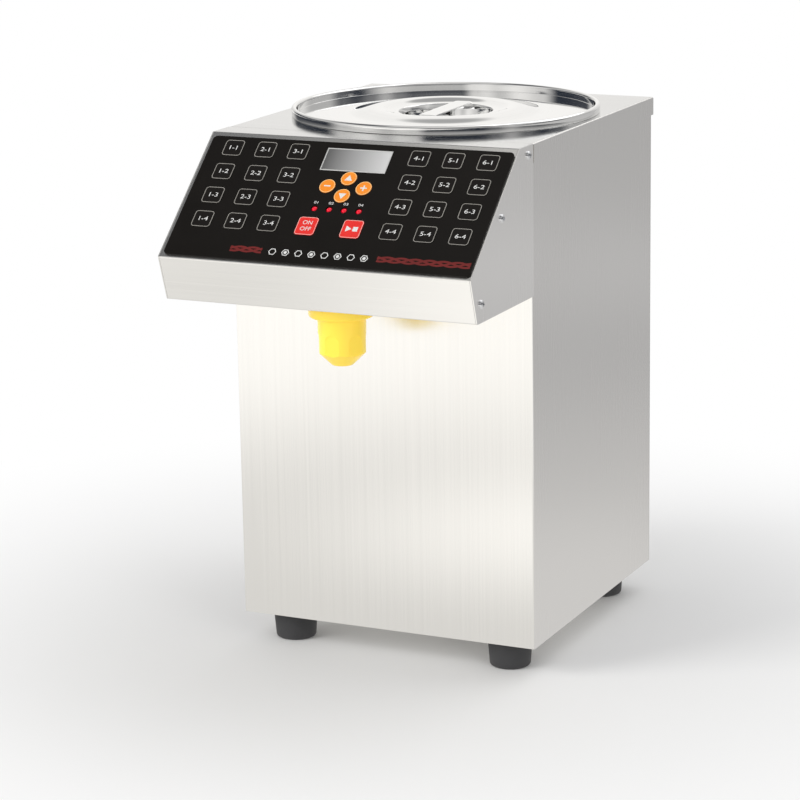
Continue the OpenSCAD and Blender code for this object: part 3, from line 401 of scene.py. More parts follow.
plasticUsual = {"rough": (0.4, 0.5), "bump": 0.15, "cloudScale": 30.0, "speckScale": 2500.0, "shader": {}}
filmUsual = {"rough": (0.3, 0.42), "bump": 0.2, "speckScale": 4200.0}
darkFilm = {"shader": {"Specular IOR Level": 0.12}}
plasticSets = {
    # The nozzle's emission is a painted glow, standing in for light passing through the yellow plastic
    "nozzleYellow": {"low": (0.98, 0.67, 0.04), "high": (1.0, 0.74, 0.06), "rough": (0.2, 0.3), "bump": 0.05,
                     "shader": {"Subsurface Weight": 0.25, "Subsurface Scale": 0.004,
                                "Subsurface Radius": (1.0, 0.6, 0.1), "Coat Weight": 0.3,
                                "Coat Roughness": 0.12, "Emission Color": (1.0, 0.70, 0.08, 1),
                                "Emission Strength": 0.2}},
    "footRubber": {"low": (0.035, 0.035, 0.037), "high": (0.06, 0.06, 0.063), "rough": (0.55, 0.75),
                   "bump": 0.5, "speckScale": 1500.0},
    "padFilm": {**filmUsual, **darkFilm, "low": (0.006, 0.0052, 0.0045), "high": (0.010, 0.0085, 0.0075),
                "rough": (0.26, 0.36)},
    "keyFilm": {**filmUsual, **darkFilm, "low": (0.007, 0.006, 0.0055), "high": (0.012, 0.010, 0.009),
                "rough": (0.3, 0.4)},
    "orangeFilm": {**filmUsual, "low": (0.80, 0.21, 0.008), "high": (0.90, 0.30, 0.02), "cloudScale": 90.0},
    "redFilm": {**filmUsual, "low": (0.66, 0.012, 0.012), "high": (0.80, 0.03, 0.02), "cloudScale": 90.0},
    "outlineInk": {"low": (0.22, 0.21, 0.19), "high": (0.30, 0.285, 0.26)},
    "whiteInk": {"low": (0.62, 0.62, 0.61), "high": (0.78, 0.78, 0.77)},
    "redInk": {"low": (0.11, 0.006, 0.005), "high": (0.18, 0.010, 0.009)},
    "paleOrangeInk": {"low": (0.90, 0.52, 0.20), "high": (0.95, 0.62, 0.28)},
    "paleRedInk": {"low": (0.85, 0.34, 0.30), "high": (0.92, 0.46, 0.42)},
    "lensRed": {"low": (0.72, 0.0, 0.015), "high": (0.86, 0.005, 0.03), "rough": (0.1, 0.2), "bump": 0.02,
                "shader": {"Coat Weight": 0.5, "Emission Color": (0.9, 0.0, 0.03, 1),
                           "Emission Strength": 0.12}},
    "boardGreen": {"low": (0.01, 0.09, 0.03), "high": (0.02, 0.15, 0.05), "rough": (0.3, 0.45)},
    "heaterRed": {"low": (0.42, 0.08, 0.03), "high": (0.55, 0.13, 0.06), "rough": (0.5, 0.7), "bump": 0.4},
    "hoseClear": {"low": (0.72, 0.70, 0.64), "high": (0.80, 0.78, 0.72), "rough": (0.2, 0.35),
                  "shader": {"Transmission Weight": 0.4}},
    "castMetal": {"low": (0.45, 0.46, 0.47), "high": (0.58, 0.59, 0.60), "rough": (0.35, 0.5), "bump": 0.4,
                  "shader": {"Metallic": 1.0}},
    "motorPaint": {"low": (0.035, 0.038, 0.045), "high": (0.06, 0.064, 0.072), "rough": (0.35, 0.5),
                   "bump": 0.2},
    "sealWhite": {"low": (0.70, 0.70, 0.68), "high": (0.80, 0.80, 0.78), "rough": (0.5, 0.6)},
    "inletBlack": {"low": (0.016, 0.016, 0.017), "high": (0.028, 0.028, 0.03), "rough": (0.38, 0.52),
                   "bump": 0.4},
    "borderSilver": {"low": (0.46, 0.46, 0.45), "high": (0.56, 0.56, 0.55), "rough": (0.25, 0.35)},
}
# left and right are the ends of a painted reflection across the display window
windowSet = {"left": (0.10, 0.10, 0.10), "right": (0.57, 0.57, 0.57), "middle": 0.0026, "halfWidth": 0.026,
             "rough": (0.12, 0.2), "coat": 0.3}


def windowMaterial(name, s):
    # The display's silver filter, with a painted reflection: darker to the left, lighter to the right
    m, tree, bsdf = startMaterial(name)
    place = put(tree, "ShaderNodeTexCoord").outputs["Object"]
    x = put(tree, "ShaderNodeSeparateXYZ", {0: place}).outputs["X"]
    clouds = put(tree, "ShaderNodeGroup", {"Vector": place}, node_tree=surfaceClouds).outputs
    across = put(tree, "ShaderNodeMapRange", {"Value": x, "From Min": s["middle"] - s["halfWidth"],
                                              "From Max": s["middle"] + s["halfWidth"]})
    feed(tree, bsdf, {
        "Base Color": mixColours(tree, across.outputs[0], s["left"], s["right"]),
        "Roughness": spread(tree, clouds["Clouds"], *s["rough"]), "Coat Weight": s["coat"]})
    return m


mats = {name: steelMaterial(name, s) for name, s in steelSets.items()}
mats["displayWindow"] = windowMaterial("displayWindow", windowSet)
mats.update({name: plasticMaterial(name, s) for name, s in plasticSets.items()})
print("materials made:", len(mats))


# Mesh helpers

weldGap = 0.003   # mm, between corners of the CAD's triangles
seamGap = 0.001   # mm, between a key's own faces
flatAngle = 0.6   # degrees


def meshFrom(name, bm, smooth=True):
    mesh = bpy.data.meshes.new(name)
    bm.to_mesh(mesh)
    bm.free()
    mesh.polygons.foreach_set("use_smooth", [smooth] * len(mesh.polygons))
    return mesh


def bake(obj):
    # The object's modifiers become its plain mesh
    depsgraph = bpy.context.evaluated_depsgraph_get()
    mesh = bpy.data.meshes.new_from_object(obj.evaluated_get(depsgraph), preserve_all_data_layers=True,
                                           depsgraph=depsgraph)
    obj.modifiers.clear()
    obj.data = mesh
    mesh.name = obj.name
    return obj


def softEdges(obj, width, angle=28, segments=2):
    bevel = obj.modifiers.new("softEdges", "BEVEL")
    bevel.width = width
    bevel.segments = segments
    bevel.limit_method = "ANGLE"
    bevel.angle_limit = math.radians(angle)
    even = obj.modifiers.new("evenShading", "WEIGHTED_NORMAL")
    even.weight = 100
    return bake(obj)


def looseMesh(node):
    # A CAD node's mesh to work on, its triangles joined at their corners
    bm = bmesh.new()
    bm.from_mesh(nodes[node].data)
    bmesh.ops.remove_doubles(bm, verts=bm.verts, dist=weldGap * mm)
    return bm


def copyOfNode(name, node):
    # A CAD node as one closed mesh, with its flat faces whole again
    bm = looseMesh(node)
    bmesh.ops.dissolve_limit(bm, angle_limit=math.radians(flatAngle), verts=bm.verts, edges=bm.edges)
    return newObject(name, meshFrom(name, bm))


def cutAway(obj, name, shapes, crossing=False):
    # Takes the shapes in a bmesh out of the object
    cutter = newObject(name, meshFrom(name, shapes, False))
    cut = obj.modifiers.new(name, "BOOLEAN")
    cut.operation = "DIFFERENCE"
    cut.solver = "EXACT"
    cut.object = cutter
    cut.use_self = crossing
    bake(obj)
    bpy.data.objects.remove(cutter)
    return obj


def mapGrain(mesh, along):
    # UVs in metres: the first runs across the grain, the second along it
    layer = mesh.uv_layers.get("grain") or mesh.uv_layers.new(name="grain")
    for face in mesh.polygons:
        n = face.normal
        a = along(n)
        a = (a - n * a.dot(n)).normalized()
        across = a.cross(n)
        for i in face.loop_indices:
            p = mesh.vertices[mesh.loops[i].vertex_index].co
            layer.data[i].uv = (p.dot(across), p.dot(a))


def grainUp(n):
    return Vector((0, 0, 1)) if abs(n.z) < 0.9 else Vector((0, 1, 0))


def grainSideways(n):
    return Vector((1, 0, 0)) if abs(n.x) < 0.7 else Vector((0, 0, 1))


def finish(obj, body, slot, *replaced):
    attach(obj, body)
    if replaced:
        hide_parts(*replaced)
    return obj


def lathe(name, profile, centre, steps=160, closed=True):
    # Turns a section of (radius, height) points in mm about an upright axis
    bm = bmesh.new()
    uv = bm.loops.layers.uv.new("grain")
    rings = []
    for r, z in profile:
        angles = [2 * math.pi * k / steps for k in range(steps)] if r else [0]
        ring = [bm.verts.new((centre.x + r * mm * math.cos(a), centre.y + r * mm * math.sin(a),
                              centre.z + z * mm)) for a in angles]
        rings.append(ring if r else ring * steps)
    runs = [0.0]
    for (r0, z0), (r1, z1) in zip(profile, profile[1:]):
        runs.append(runs[-1] + math.hypot(r1 - r0, z1 - z0) * mm)
    last = len(rings) - 1
    for i, j in [(i, i + 1) for i in range(last)] + ([(last, 0)] if closed else []):
        width = max(profile[i][0], profile[j][0]) * mm
        for k in range(steps):
            n = (k + 1) % steps
            # A corner on the axis comes twice and is kept once
            corners = {}
            for vert, run, step in ((rings[i][k], runs[i], k), (rings[i][n], runs[i], k + 1),
                                    (rings[j][n], runs[j], k + 1), (rings[j][k], runs[j], k)):
                corners.setdefault(vert, (run, 2 * math.pi * step / steps * width))
            face = bm.faces.new(corners)
            for loop, spot in zip(face.loops, corners.values()):
                loop[uv].uv = spot
    bmesh.ops.recalc_face_normals(bm, faces=bm.faces)
    return newObject(name, meshFrom(name, bm))


def sharpen(obj, angle=35):
    obj.data.set_sharp_from_angle(angle=math.radians(angle))
    return obj


def setMaterial(obj, *names):
    if len(obj.data.materials):
        obj.data.materials.clear()
    for name in names:
        obj.data.materials.append(mats[name])
    return obj


def arc(cx, cz, r, start, stop, steps):
    return [(cx + r * math.cos(math.radians(start + (stop - start) * k / steps)),
             cz + r * math.sin(math.radians(start + (stop - start) * k / steps))) for k in range(steps + 1)]


def ease(t):
    return (1 - math.cos(math.pi * t)) / 2


# Geometry node trees

def startTree(name, inputs):
    return startGroup(name, "GeometryNodeTree", [("Geometry", "NodeSocketGeometry", None)] + inputs,
                      [("Geometry", "NodeSocketGeometry")])


def runTree(obj, tree, values):
    modifier = obj.modifiers.new(tree.name, "NODES")
    modifier.node_group = tree
    for item in tree.interface.items_tree:
        if item.item_type == "SOCKET" and item.in_out == "INPUT" and item.name in values:
            modifier[item.identifier] = values[item.name]
    return bake(obj)


def finishTree(tree, geometry, material, result):
    # Real geometry with its material comes out of the tree
    real = put(tree, "GeometryNodeRealizeInstances", {0: geometry})
    dressed = put(tree, "GeometryNodeSetMaterial", {"Geometry": real, "Material": material})
    tree.links.new(dressed.outputs[0], result["Geometry"])
    return tree


def makeScatterTree():
    # One copy of a finished shape on each point, its axis along the point's "facing"
    tree, given, result = startTree("copiesOnPoints", [
        ("Shape", "NodeSocketObject", None), ("Material", "NodeSocketMaterial", None)])
    facing = put(tree, "GeometryNodeInputNamedAttribute", {"Name": "facing"}, data_type="FLOAT_VECTOR")
    turn = put(tree, "FunctionNodeAlignRotationToVector", {"Vector": facing}, axis="Z")
    spin = put(tree, "GeometryNodeInputNamedAttribute", {"Name": "spin"}, data_type="FLOAT")
    own = put(tree, "ShaderNodeCombineXYZ", {"Z": spin})
    ownTurn = put(tree, "FunctionNodeEulerToRotation", {0: own})
    spun = put(tree, "FunctionNodeRotateRotation", {"Rotation": turn, 1: ownTurn},
               rotation_space="LOCAL")
    shape = put(tree, "GeometryNodeObjectInfo", {"Object": given["Shape"]})
    copies = put(tree, "GeometryNodeInstanceOnPoints", {
        "Points": given["Geometry"], "Instance": shape.outputs["Geometry"], "Rotation": spun})
    return finishTree(tree, copies.outputs[0], given["Material"], result)


def makeKeyTree():
    # A key's plate: a rounded rectangle, its top edge drawn in
    tree, given, result = startTree("keyPlate", [
        ("Width", "NodeSocketFloat", 0.017), ("Height", "NodeSocketFloat", 0.016),
        ("Corner", "NodeSocketFloat", 0.003), ("Thickness", "NodeSocketFloat", 0.001),
        ("Edge", "NodeSocketFloat", 0.0002), ("Corner Steps", "NodeSocketInt", 8),
        ("Material", "NodeSocketMaterial", None)])
    outline = put(tree, "GeometryNodeCurvePrimitiveQuadrilateral", {
        "Width": given["Width"], "Height": given["Height"]})
    rounded = put(tree, "GeometryNodeFilletCurve", {
        "Curve": outline, "Radius": given["Corner"], "Count": given["Corner Steps"]}, mode="POLY")
    plate = put(tree, "GeometryNodeFillCurve", {"Curve": rounded}, mode="NGONS")
    straight = math2(tree, "SUBTRACT", given["Thickness"], given["Edge"])
    walls = put(tree, "GeometryNodeExtrudeMesh", {
        "Mesh": plate, "Offset Scale": straight, "Individual": False}, mode="FACES")
    shoulder = put(tree, "GeometryNodeExtrudeMesh", {
        "Mesh": walls.outputs["Mesh"], "Selection": walls.outputs["Top"], "Offset Scale": given["Edge"],
        "Individual": False}, mode="FACES")
    edges = math2(tree, "MULTIPLY", given["Edge"], 2.0)
    narrower = math2(tree, "SUBTRACT", 1.0, math2(tree, "DIVIDE", edges, given["Width"]))
    drawnIn = put(tree, "GeometryNodeScaleElements", {
        "Geometry": shoulder.outputs["Mesh"], "Selection": shoulder.outputs["Top"], "Scale": narrower})
    base = put(tree, "GeometryNodeFlipFaces", {"Mesh": plate})
    whole = put(tree, "GeometryNodeJoinGeometry")
    for part in (base, drawnIn):
        tree.links.new(part.outputs[0], whole.inputs[0])
    welded = put(tree, "GeometryNodeMergeByDistance", {"Geometry": whole, "Distance": seamGap * mm})
    return finishTree(tree, welded.outputs[0], given["Material"], result)


def makeWaveTree():
    # A printed wavy line: a flat ribbon along a sine
    tree, given, result = startTree("waveLine", [
        ("Length", "NodeSocketFloat", 0.03), ("Swing", "NodeSocketFloat", 0.001),
        ("Waves", "NodeSocketFloat", 1.5), ("Phase", "NodeSocketFloat", 0.0),
        ("Line Width", "NodeSocketFloat", 0.0008), ("Ink", "NodeSocketFloat", 0.00003),
        ("Material", "NodeSocketMaterial", None)])
    run = put(tree, "ShaderNodeCombineXYZ", {"X": given["Length"]})
    line = put(tree, "GeometryNodeCurvePrimitiveLine", {"End": run})
    fine = put(tree, "GeometryNodeResampleCurve", {"Curve": line, "Count": 72})
    along = put(tree, "GeometryNodeSplineParameter").outputs["Factor"]
    turns = math2(tree, "MULTIPLY", along, given["Waves"])
    angle = math2(tree, "ADD", math2(tree, "MULTIPLY", turns, 2 * math.pi), given["Phase"])
    swing = put(tree, "ShaderNodeCombineXYZ", {
        "Y": math2(tree, "MULTIPLY", math2(tree, "SINE", angle, 0.0), given["Swing"])})
    bent = put(tree, "GeometryNodeSetPosition", {"Geometry": fine, "Offset": swing})
    section = put(tree, "GeometryNodeCurvePrimitiveQuadrilateral", {
        "Width": given["Line Width"], "Height": given["Ink"]})
    ribbon = put(tree, "GeometryNodeCurveToMesh", {
        "Curve": bent, "Profile Curve": section, "Fill Caps": True})
    return finishTree(tree, ribbon.outputs[0], given["Material"], result)


copiesOnPoints = makeScatterTree()
keyPlate = makeKeyTree()
waveLine = makeWaveTree()
print("geometry node trees made")


def scatter(name, points, shape, material):
    # points: (place, facing, spin in radians)
    mesh = bpy.data.meshes.new(name)
    mesh.from_pydata([p[0] for p in points], [], [])
    facing = mesh.attributes.new("facing", "FLOAT_VECTOR", "POINT")
    facing.data.foreach_set("vector", [c for p in points for c in p[1]])
    spin = mesh.attributes.new("spin", "FLOAT", "POINT")
    spin.data.foreach_set("value", [p[2] for p in points])
    obj = runTree(newObject(name, mesh), copiesOnPoints, {"Shape": shape, "Material": mats[material]})
    bpy.data.objects.remove(shape)
    return obj


# Folded sheets of the case

# least share of a face's direction for it to count as a side or as level
sideShare = 0.7
levelShare = 0.95
sheetPieces = {
    # node: (piece, edge radius in mm, grain)
    "body_shell": ("caseShell", 0.22, grainUp),
    "back_panel": ("rearPanel", 0.2, grainUp),
    "base_pan": ("floorPan", 0.2, grainSideways),
    "top_cover": ("topCover", 0.22, grainSideways),
    "head_cheeks": ("headCheeks", 0.25, grainUp),
    "head_cover": ("headFold", 0.22, grainSideways),
}
for node, (name, edge, grain) in sheetPieces.items():
    sheet = softEdges(copyOfNode(name, node), edge * mm)
    mapGrain(sheet.data, grain)
    setMaterial(sheet, "caseSteel", "sideSteel", "topSteel", "cheekSteel")
    for face in sheet.data.polygons:
        n = face.normal
        # Each face takes the tone painted for its facing: painted shade on sides and top, painted light on
        # the cheek's right face
        onLitCheek = node == "head_cheeks" and n.x > sideShare
        face.material_index = 3 if onLitCheek else 1 if abs(n.x) > sideShare else 2 if n.z > levelShare else 0
    finish(sheet, "case", "case_steel", node)
print("sheets made")


# Tank

tankSet = {"rimWidth": 4.5, "wall": 1.0, "ledgeBelowTop": 0.8, "bodyRadius": 114.0, "corner": 14.0,
           "depth": 200.0, "outletBore": 4.5, "outletRadius": 6.0, "ledgeRound": 1.2, "throatRound": 0.8,
           "rimEdge": 0.5, "liftOffTop": 0.05}


def makeTank(s):
    rimR = (tankHigh.x - tankLow.x) / 2 / mm
    rimTop = (tankHigh.z - topZ) / mm
    roll = s["rimWidth"] / 2
    throat = rimR - s["rimWidth"]
    rollZ = rimTop - roll
    ledge = -s["ledgeBelowTop"]
    floorZ = ledge - s["depth"]
    inner, wall, corner = s["bodyRadius"], s["wall"], s["corner"]
    outlet = (tankLow.z - topZ) / mm
    profile = [(s["outletBore"], outlet), (s["outletBore"], floorZ)]
    profile += arc(inner - corner + wall, floorZ + corner - wall, corner - wall, -90, 0, 12)
    bend, seat, edge, lift = s["ledgeRound"], s["throatRound"], s["rimEdge"], s["liftOffTop"]
    profile += [(inner, ledge - bend)] + arc(inner + bend, ledge - bend, bend, 180, 90, 4)
    profile += arc(throat - seat, ledge + seat, seat, -90, 0, 4)
    profile += arc(throat + roll, rollZ, roll, 180, 0, 20)
    profile += arc(rimR - edge, edge + lift, edge, 0, -90, 3)
    profile += [(rimR - wall, lift), (rimR - wall, rollZ)]
    profile += arc(throat + roll, rollZ, roll - wall, 0, 180, 10)
    profile += [(throat + wall, ledge - wall), (inner + wall, ledge - wall)]
    profile += arc(inner - corner + wall, floorZ + corner - wall, corner, 0, -90, 12)
    profile += [(s["outletRadius"], floorZ - wall), (s["outletRadius"], outlet)]
    tank = lathe("tank", profile, Vector((tankAxis.x, tankAxis.y, topZ)), 192)
    return sharpen(setMaterial(tank, "polishedSteel"), 50)


finish(makeTank(tankSet), "case", "polished_steel", "tank")
print("tank made")


# Lid and its handle

lidSet = {"sheet": 0.8, "ringFoot": 82.0, "crestRadius": 56.0, "crestHeight": 4.3, "dishDrop": 3.4,
          "pocketRadius": 39.0, "pocketSlope": 4.0, "pocketDepth": 12.0, "pocketFlat": 0.6, "steps": 20}
gripSet = {"edge": 0.5, "turn": 2.0}


def lidFace(s, outer):
    # The lid's upper side from the axis out: the pocket, its slope, the dish, the ring and the flat
    pocket, crest, foot = s["pocketRadius"], s["crestRadius"], s["ringFoot"]
    depth, rise = s["pocketDepth"], s["crestHeight"]
    dish = rise - s["dishDrop"]
    ts = [k / s["steps"] for k in range(s["steps"] + 1)]
    points = [(0, -depth), (pocket * s["pocketFlat"], -depth)]
    points += [(pocket - s["pocketSlope"] * (1 - t), -depth + (dish + depth) * ease(t)) for t in ts]
    points += [(pocket + (crest - pocket) * t, dish + s["dishDrop"] * ease(t)) for t in ts[1:]]
    points += [(crest + (foot - crest) * t, rise * (1 - ease(t))) for t in ts[1:]]
    return points + [(outer - s["sheet"] / 2, 0)]


def makeLid(s):
    low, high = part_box("lid")
    outer = (high.x - low.x) / 2 / mm
    face = lidFace(s, outer)
    half = s["sheet"] / 2
    under = [(r, z - s["sheet"]) for r, z in reversed(face)]
    profile = face + arc(outer - half, -half, half, 70, -70, 6) + under
    centre = Vector((tankAxis.x, tankAxis.y, high.z - s["crestHeight"] * mm))
    return sharpen(setMaterial(lathe("lid", profile, centre, 192, closed=False), "polishedSteel"), 60)


def makeGrip(s):
    obj = softEdges(copyOfNode("lidHandle", "lid_handle"), s["edge"] * mm, 40, 3)
    turn = math.radians(s["turn"])
    along = Vector((-math.sin(turn), math.cos(turn), 0))
    mapGrain(obj.data, lambda n: along if abs(n.dot(along)) < 0.8 else Vector((1, 0, 0)))
    return setMaterial(obj, "polishedSteel")


finish(makeLid(lidSet), "lid", "polished_steel", "lid")
finish(makeGrip(gripSet), "lid", "polished_steel", "lid_handle")
print("lid made")


# Nozzle

nozzleSet = {"flangeRadius": 25.75, "flangeHeight": 11.0, "flangeEdge": 2.5, "radius": 18.8, "taper": 10.0,
             "tipRadius": 9.0, "tipBore": 4.0, "tipEdge": 0.6, "threadRadius": 11.06, "threadDepth": 24.2,
             "shoulderRound": 1.2, "smallRound": 0.8, "rimEdge": 0.5,
             "flats": 6, "flatDepth": 0.9, "flatTop": 20.0, "edge": 0.5}


def gripCutters(s, centre):
    # Flats with round tops, side by side round the nozzle
    cutters = bmesh.new()
    half = math.sqrt(2 * s["radius"] * s["flatDepth"])
    outline = [(-half, -2), (half, -2)] + arc(0, s["flatTop"], half, 0, 180, 15)
    n = len(outline)
    for k in range(s["flats"]):
        turn = Matrix.Rotation(2 * math.pi * k / s["flats"], 4, "Z")
        inner, outer = ([cutters.verts.new(centre + turn @ (Vector((x, -reach, z)) * mm)) for x, z in outline]
                        for reach in (s["radius"] - s["flatDepth"], s["radius"] + 4))
        cutters.faces.new(inner)
        cutters.faces.new(reversed(outer))
        for i in range(n):
            cutters.faces.new((inner[(i + 1) % n], inner[i], outer[i], outer[(i + 1) % n]))
    bmesh.ops.recalc_face_normals(cutters, faces=cutters.faces)
    return cutters


def makeNozzle(s):
    low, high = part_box("nozzle")
    length = (high.z - low.z) / mm
    flangeLow = length - s["flangeHeight"]
    tip, neck, small, rim = s["tipRadius"], s["shoulderRound"], s["smallRound"], s["rimEdge"]
    wide, edge, bore, thread = s["flangeRadius"], s["flangeEdge"], s["tipBore"], s["threadRadius"]
    threadLow = length - s["threadDepth"]
    profile = [(bore, threadLow), (bore, s["tipEdge"]), (bore + s["tipEdge"], 0)]
    profile += arc(tip - small, small, small, -90, -45, 3)
    profile += arc(s["radius"] - neck, s["taper"] + 0.5, neck, -40, 0, 4)
    profile += arc(s["radius"] + small, flangeLow - small, small, 180, 90, 4)
    profile += arc(wide - edge, flangeLow + edge, edge, -90, 0, 12)
    profile += arc(wide - rim, length - rim, rim, 0, 90, 3)
    profile += [(thread + rim, length), (thread, length - rim), (thread, threadLow)]
    centre = Vector(((low.x + high.x) / 2, (low.y + high.y) / 2, low.z))
    nozzle = cutAway(lathe("nozzle", profile, centre, 160), "gripFlats", gripCutters(s, centre))
    softEdges(nozzle, s["edge"] * mm, 24, 3)
    mapGrain(nozzle.data, grainUp)
    return setMaterial(nozzle, "nozzleYellow")


finish(makeNozzle(nozzleSet), "nozzle", "nozzle_plastic", "nozzle")
print("nozzle made")


# Feet

footSet = {"topRadius": 18.5, "lowRadius": 16.7, "round": 2.5, "recess": 5.0, "mouth": 0.6, "web": 6.0,
           "hole": 2.2, "draft": 0.1, "topInset": 0.6, "topDrop": 0.8}


def footSpots():
    low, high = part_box("feet")
    r = footSet["topRadius"] * mm
    return [Vector((x, y, 0)) for x in (low.x + r, high.x - r) for y in (low.y + r, high.y - r)]


def makeFeet(s):
    height = baseZ / mm
    hole, recess, mouth, web = s["hole"], s["recess"], s["mouth"], height - s["web"]
    bend, wide = s["round"], s["topRadius"]
    profile = [(hole, web), (recess, web), (recess, mouth), (recess + mouth, 0)]
    profile += arc(s["lowRadius"] - bend, bend, bend, -90, 0, 8)
    profile += [(wide - s["draft"], height - s["topDrop"]), (wide - s["topInset"], height), (hole, height)]
    shape = sharpen(lathe("footShape", profile, Vector(), 96), 40)
    spots = [(p, (0, 0, 1), 0.0) for p in footSpots()]
    return scatter("feet", spots, shape, "footRubber")


finish(makeFeet(footSet), "case", "foot_rubber", "feet")
print("feet made")


# Screws

screwSet = {"headRadius": 3.5, "headHeight": 2.3, "rimShare": 0.4, "rimEdge": 0.15, "domeShare": 0.97,
            "shankRadius": 1.95, "shankLength": 8.5, "crossWidth": 0.9, "crossReach": 2.1,
            "crossDepth": 1.5, "crossTaper": 0.45, "crossMore": 1.001, "headFrom": 0.9, "turnStep": 0.9}


def makeScrewShape(s):
    radius, height, edge, shank = s["headRadius"], s["headHeight"], s["rimEdge"], s["shankRadius"]
    rim = height * s["rimShare"]
    dome = (radius ** 2 + (height - rim) ** 2) / (2 * (height - rim))
    sweep = math.degrees(math.asin(radius / dome)) * s["domeShare"]
    profile = [(0, -s["shankLength"]), (shank, -s["shankLength"]), (shank, 0)]
    profile += [(radius - edge, 0), (radius, edge), (radius, rim)]
    profile += arc(0, height - dome, dome, 90 - sweep, 90, 8)
    profile[-1] = (0, height)
    screw = lathe("screwShape", profile, Vector(), 40, closed=False)
    cross = bmesh.new()
    # One bar of the cross is a little longer, so that no two of their faces share a plane
    for turn, more in ((0, 1), (90, s["crossMore"])):
        spin = Matrix.Rotation(math.radians(turn), 4, "Z")
        for v in bmesh.ops.create_cube(cross, size=1)["verts"]:
            top = v.co.z > 0
            x = math.copysign(s["crossReach"] * more * (1 if top else s["crossTaper"]), v.co.x)
            y = math.copysign(s["crossWidth"] / 2, v.co.y)
            v.co = spin @ (Vector((x, y, height + (1 if top else -s["crossDepth"]))) * mm)
    cutAway(screw, "crossCutter", cross, crossing=True)
    mapGrain(screw.data, grainUp)
    return sharpen(screw, 30)


def limits(points):
    return [Vector([end(p[i] for p in points) for i in range(3)]) for end in (min, max)]


def islands(bm):
    # The places of each loose solid's corners, in the order of the solids' first corners
    seen = set()
    for first in bm.verts:
        if first in seen:
            continue
        seen.add(first)
        stack, places = [first], []
        while stack:
            v = stack.pop()
            places.append(v.co.copy())
            fresh = [o for o in (e.other_vert(v) for e in v.link_edges) if o not in seen]
            seen.update(fresh)
            stack += fresh
        yield places


def screwSpots(s):
    # Each solid of the CAD node is one screw: its head is the end with the wider ring
    bm = looseMesh("case_screws")
    spots = []
    for points in islands(bm):
        low, high = limits(points)
        middle = (low + high) / 2
        axis = max(range(3), key=lambda i: (high - low)[i])
        wide = [p for p in points if max(abs(p[i] - middle[i]) for i in range(3) if i != axis)
                > s["headRadius"] * s["headFrom"] * mm]
        sign = 1 if sum(p[axis] - middle[axis] for p in wide) > 0 else -1
        facing = [0, 0, 0]
        facing[axis] = sign
        place = middle.copy()
        place[axis] = (high if sign > 0 else low)[axis] - sign * s["headHeight"] * mm
        spots.append((place, facing, s["turnStep"] * len(spots)))
    bm.free()
    return spots


screws = scatter("caseScrews", screwSpots(screwSet), makeScrewShape(screwSet), "turnedSteel")
mapGrain(screws.data, grainUp)
finish(screws, "case", "polished_steel", "case_screws")
print("screws made")


# Keypad

headSet = {"strip": 26.0}
padSet = {"edge": 0.15}
# mm, but for the stretch
printSet = {"ink": 0.03, "outlineInset": 0.35, "outlineWidth": 0.6, "digitSize": 5.7, "digitStretch": 1.22,
            "rimInset": 0.175, "rimWidth": 0.5, "leastCorner": 0.3}
keyShapeSet = {"edge": 0.18, "corner": {"number_keys": 3.0, "red_keys": 2.5}, "roundWithin": 0.1,
               "roundGap": 0.01, "steps": 8, "roundSteps": 14}
ink = printSet["ink"] * mm

keyAxis = Vector(next(j["axis"] for j in frame["joints"] if j["name"] == "key_1_1_press"))
slopeTurn = Matrix.Rotation(math.atan2(keyAxis.y, -keyAxis.z), 4, "X")
slope = Matrix.Translation((0, frontY - headSet["strip"] * mm, topZ)) @ slopeTurn
slopeInverse = slope.inverted()


def slopePoints(node):
    return [slopeInverse @ v.co for v in nodes[node].data.vertices]


film = softEdges(copyOfNode("keypadFilm", "keypad_overlay"), padSet["edge"] * mm)
finish(setMaterial(film, "padFilm"), "case", "keypad_film", "keypad_overlay")


def textMesh(words, size, x=0, y=0, stretch=1.0):
    curve = bpy.data.curves.new("words", "FONT")
    curve.body = words
    curve.size = size * mm
    curve.align_x = "CENTER"
    curve.align_y = "CENTER"
    curve.extrude = ink / 2
    curve.resolution_u = 3
    obj = newObject("words", curve)
    mesh = bpy.data.meshes.new_from_object(obj.evaluated_get(bpy.context.evaluated_depsgraph_get()))
    bpy.data.objects.remove(obj)
    mesh.transform(Matrix.Translation((x, y, ink / 2)) @ Matrix.Diagonal((stretch, 1, 1, 1)))
    return mesh


def roundedRectangle(w, h, r):
    x, y = w / 2 - r, h / 2 - r
    return [point for cx, cy, start in ((x, y, 0), (-x, y, 90), (-x, -y, 180), (x, -y, 270))
            for point in arc(cx, cy, r, start, start + 90, 8)]


def bandMesh(name, outer, inner, depth):
    # A printed band between two outlines with as many points
    bm = bmesh.new()
    rings = [[bm.verts.new((x, y, z)) for x, y in points]
             for points, z in ((outer, 0), (outer, depth), (inner, depth), (inner, 0))]
    for a, b in zip(rings, rings[1:] + rings[:1]):
        for k in range(len(outer)):
            bm.faces.new((a[k - 1], a[k], b[k], b[k - 1]))
    bmesh.ops.recalc_face_normals(bm, faces=bm.faces)
    return meshFrom(name, bm, False)


def outlineMesh(name, w, h, r, width, depth):
    # A printed frame; w, h and r are those of its outer side
    least = printSet["leastCorner"] * mm
    outer, inner = (roundedRectangle(w - 2 * inset, h - 2 * inset, max(r - inset, least))
                    for inset in (0, width))
    return bandMesh(name, outer, inner, depth)


def shapeMesh(name, points):
    # A printed shape: a flat outline with its own thickness
    bm = bmesh.new()
    low, high = ([bm.verts.new((x, y, z)) for x, y in points] for z in (0, ink))
    bm.faces.new(reversed(low))
    bm.faces.new(high)
    for k in range(len(points)):
        bm.faces.new((low[k - 1], low[k], high[k], high[k - 1]))
    return meshFrom(name, bm, False)


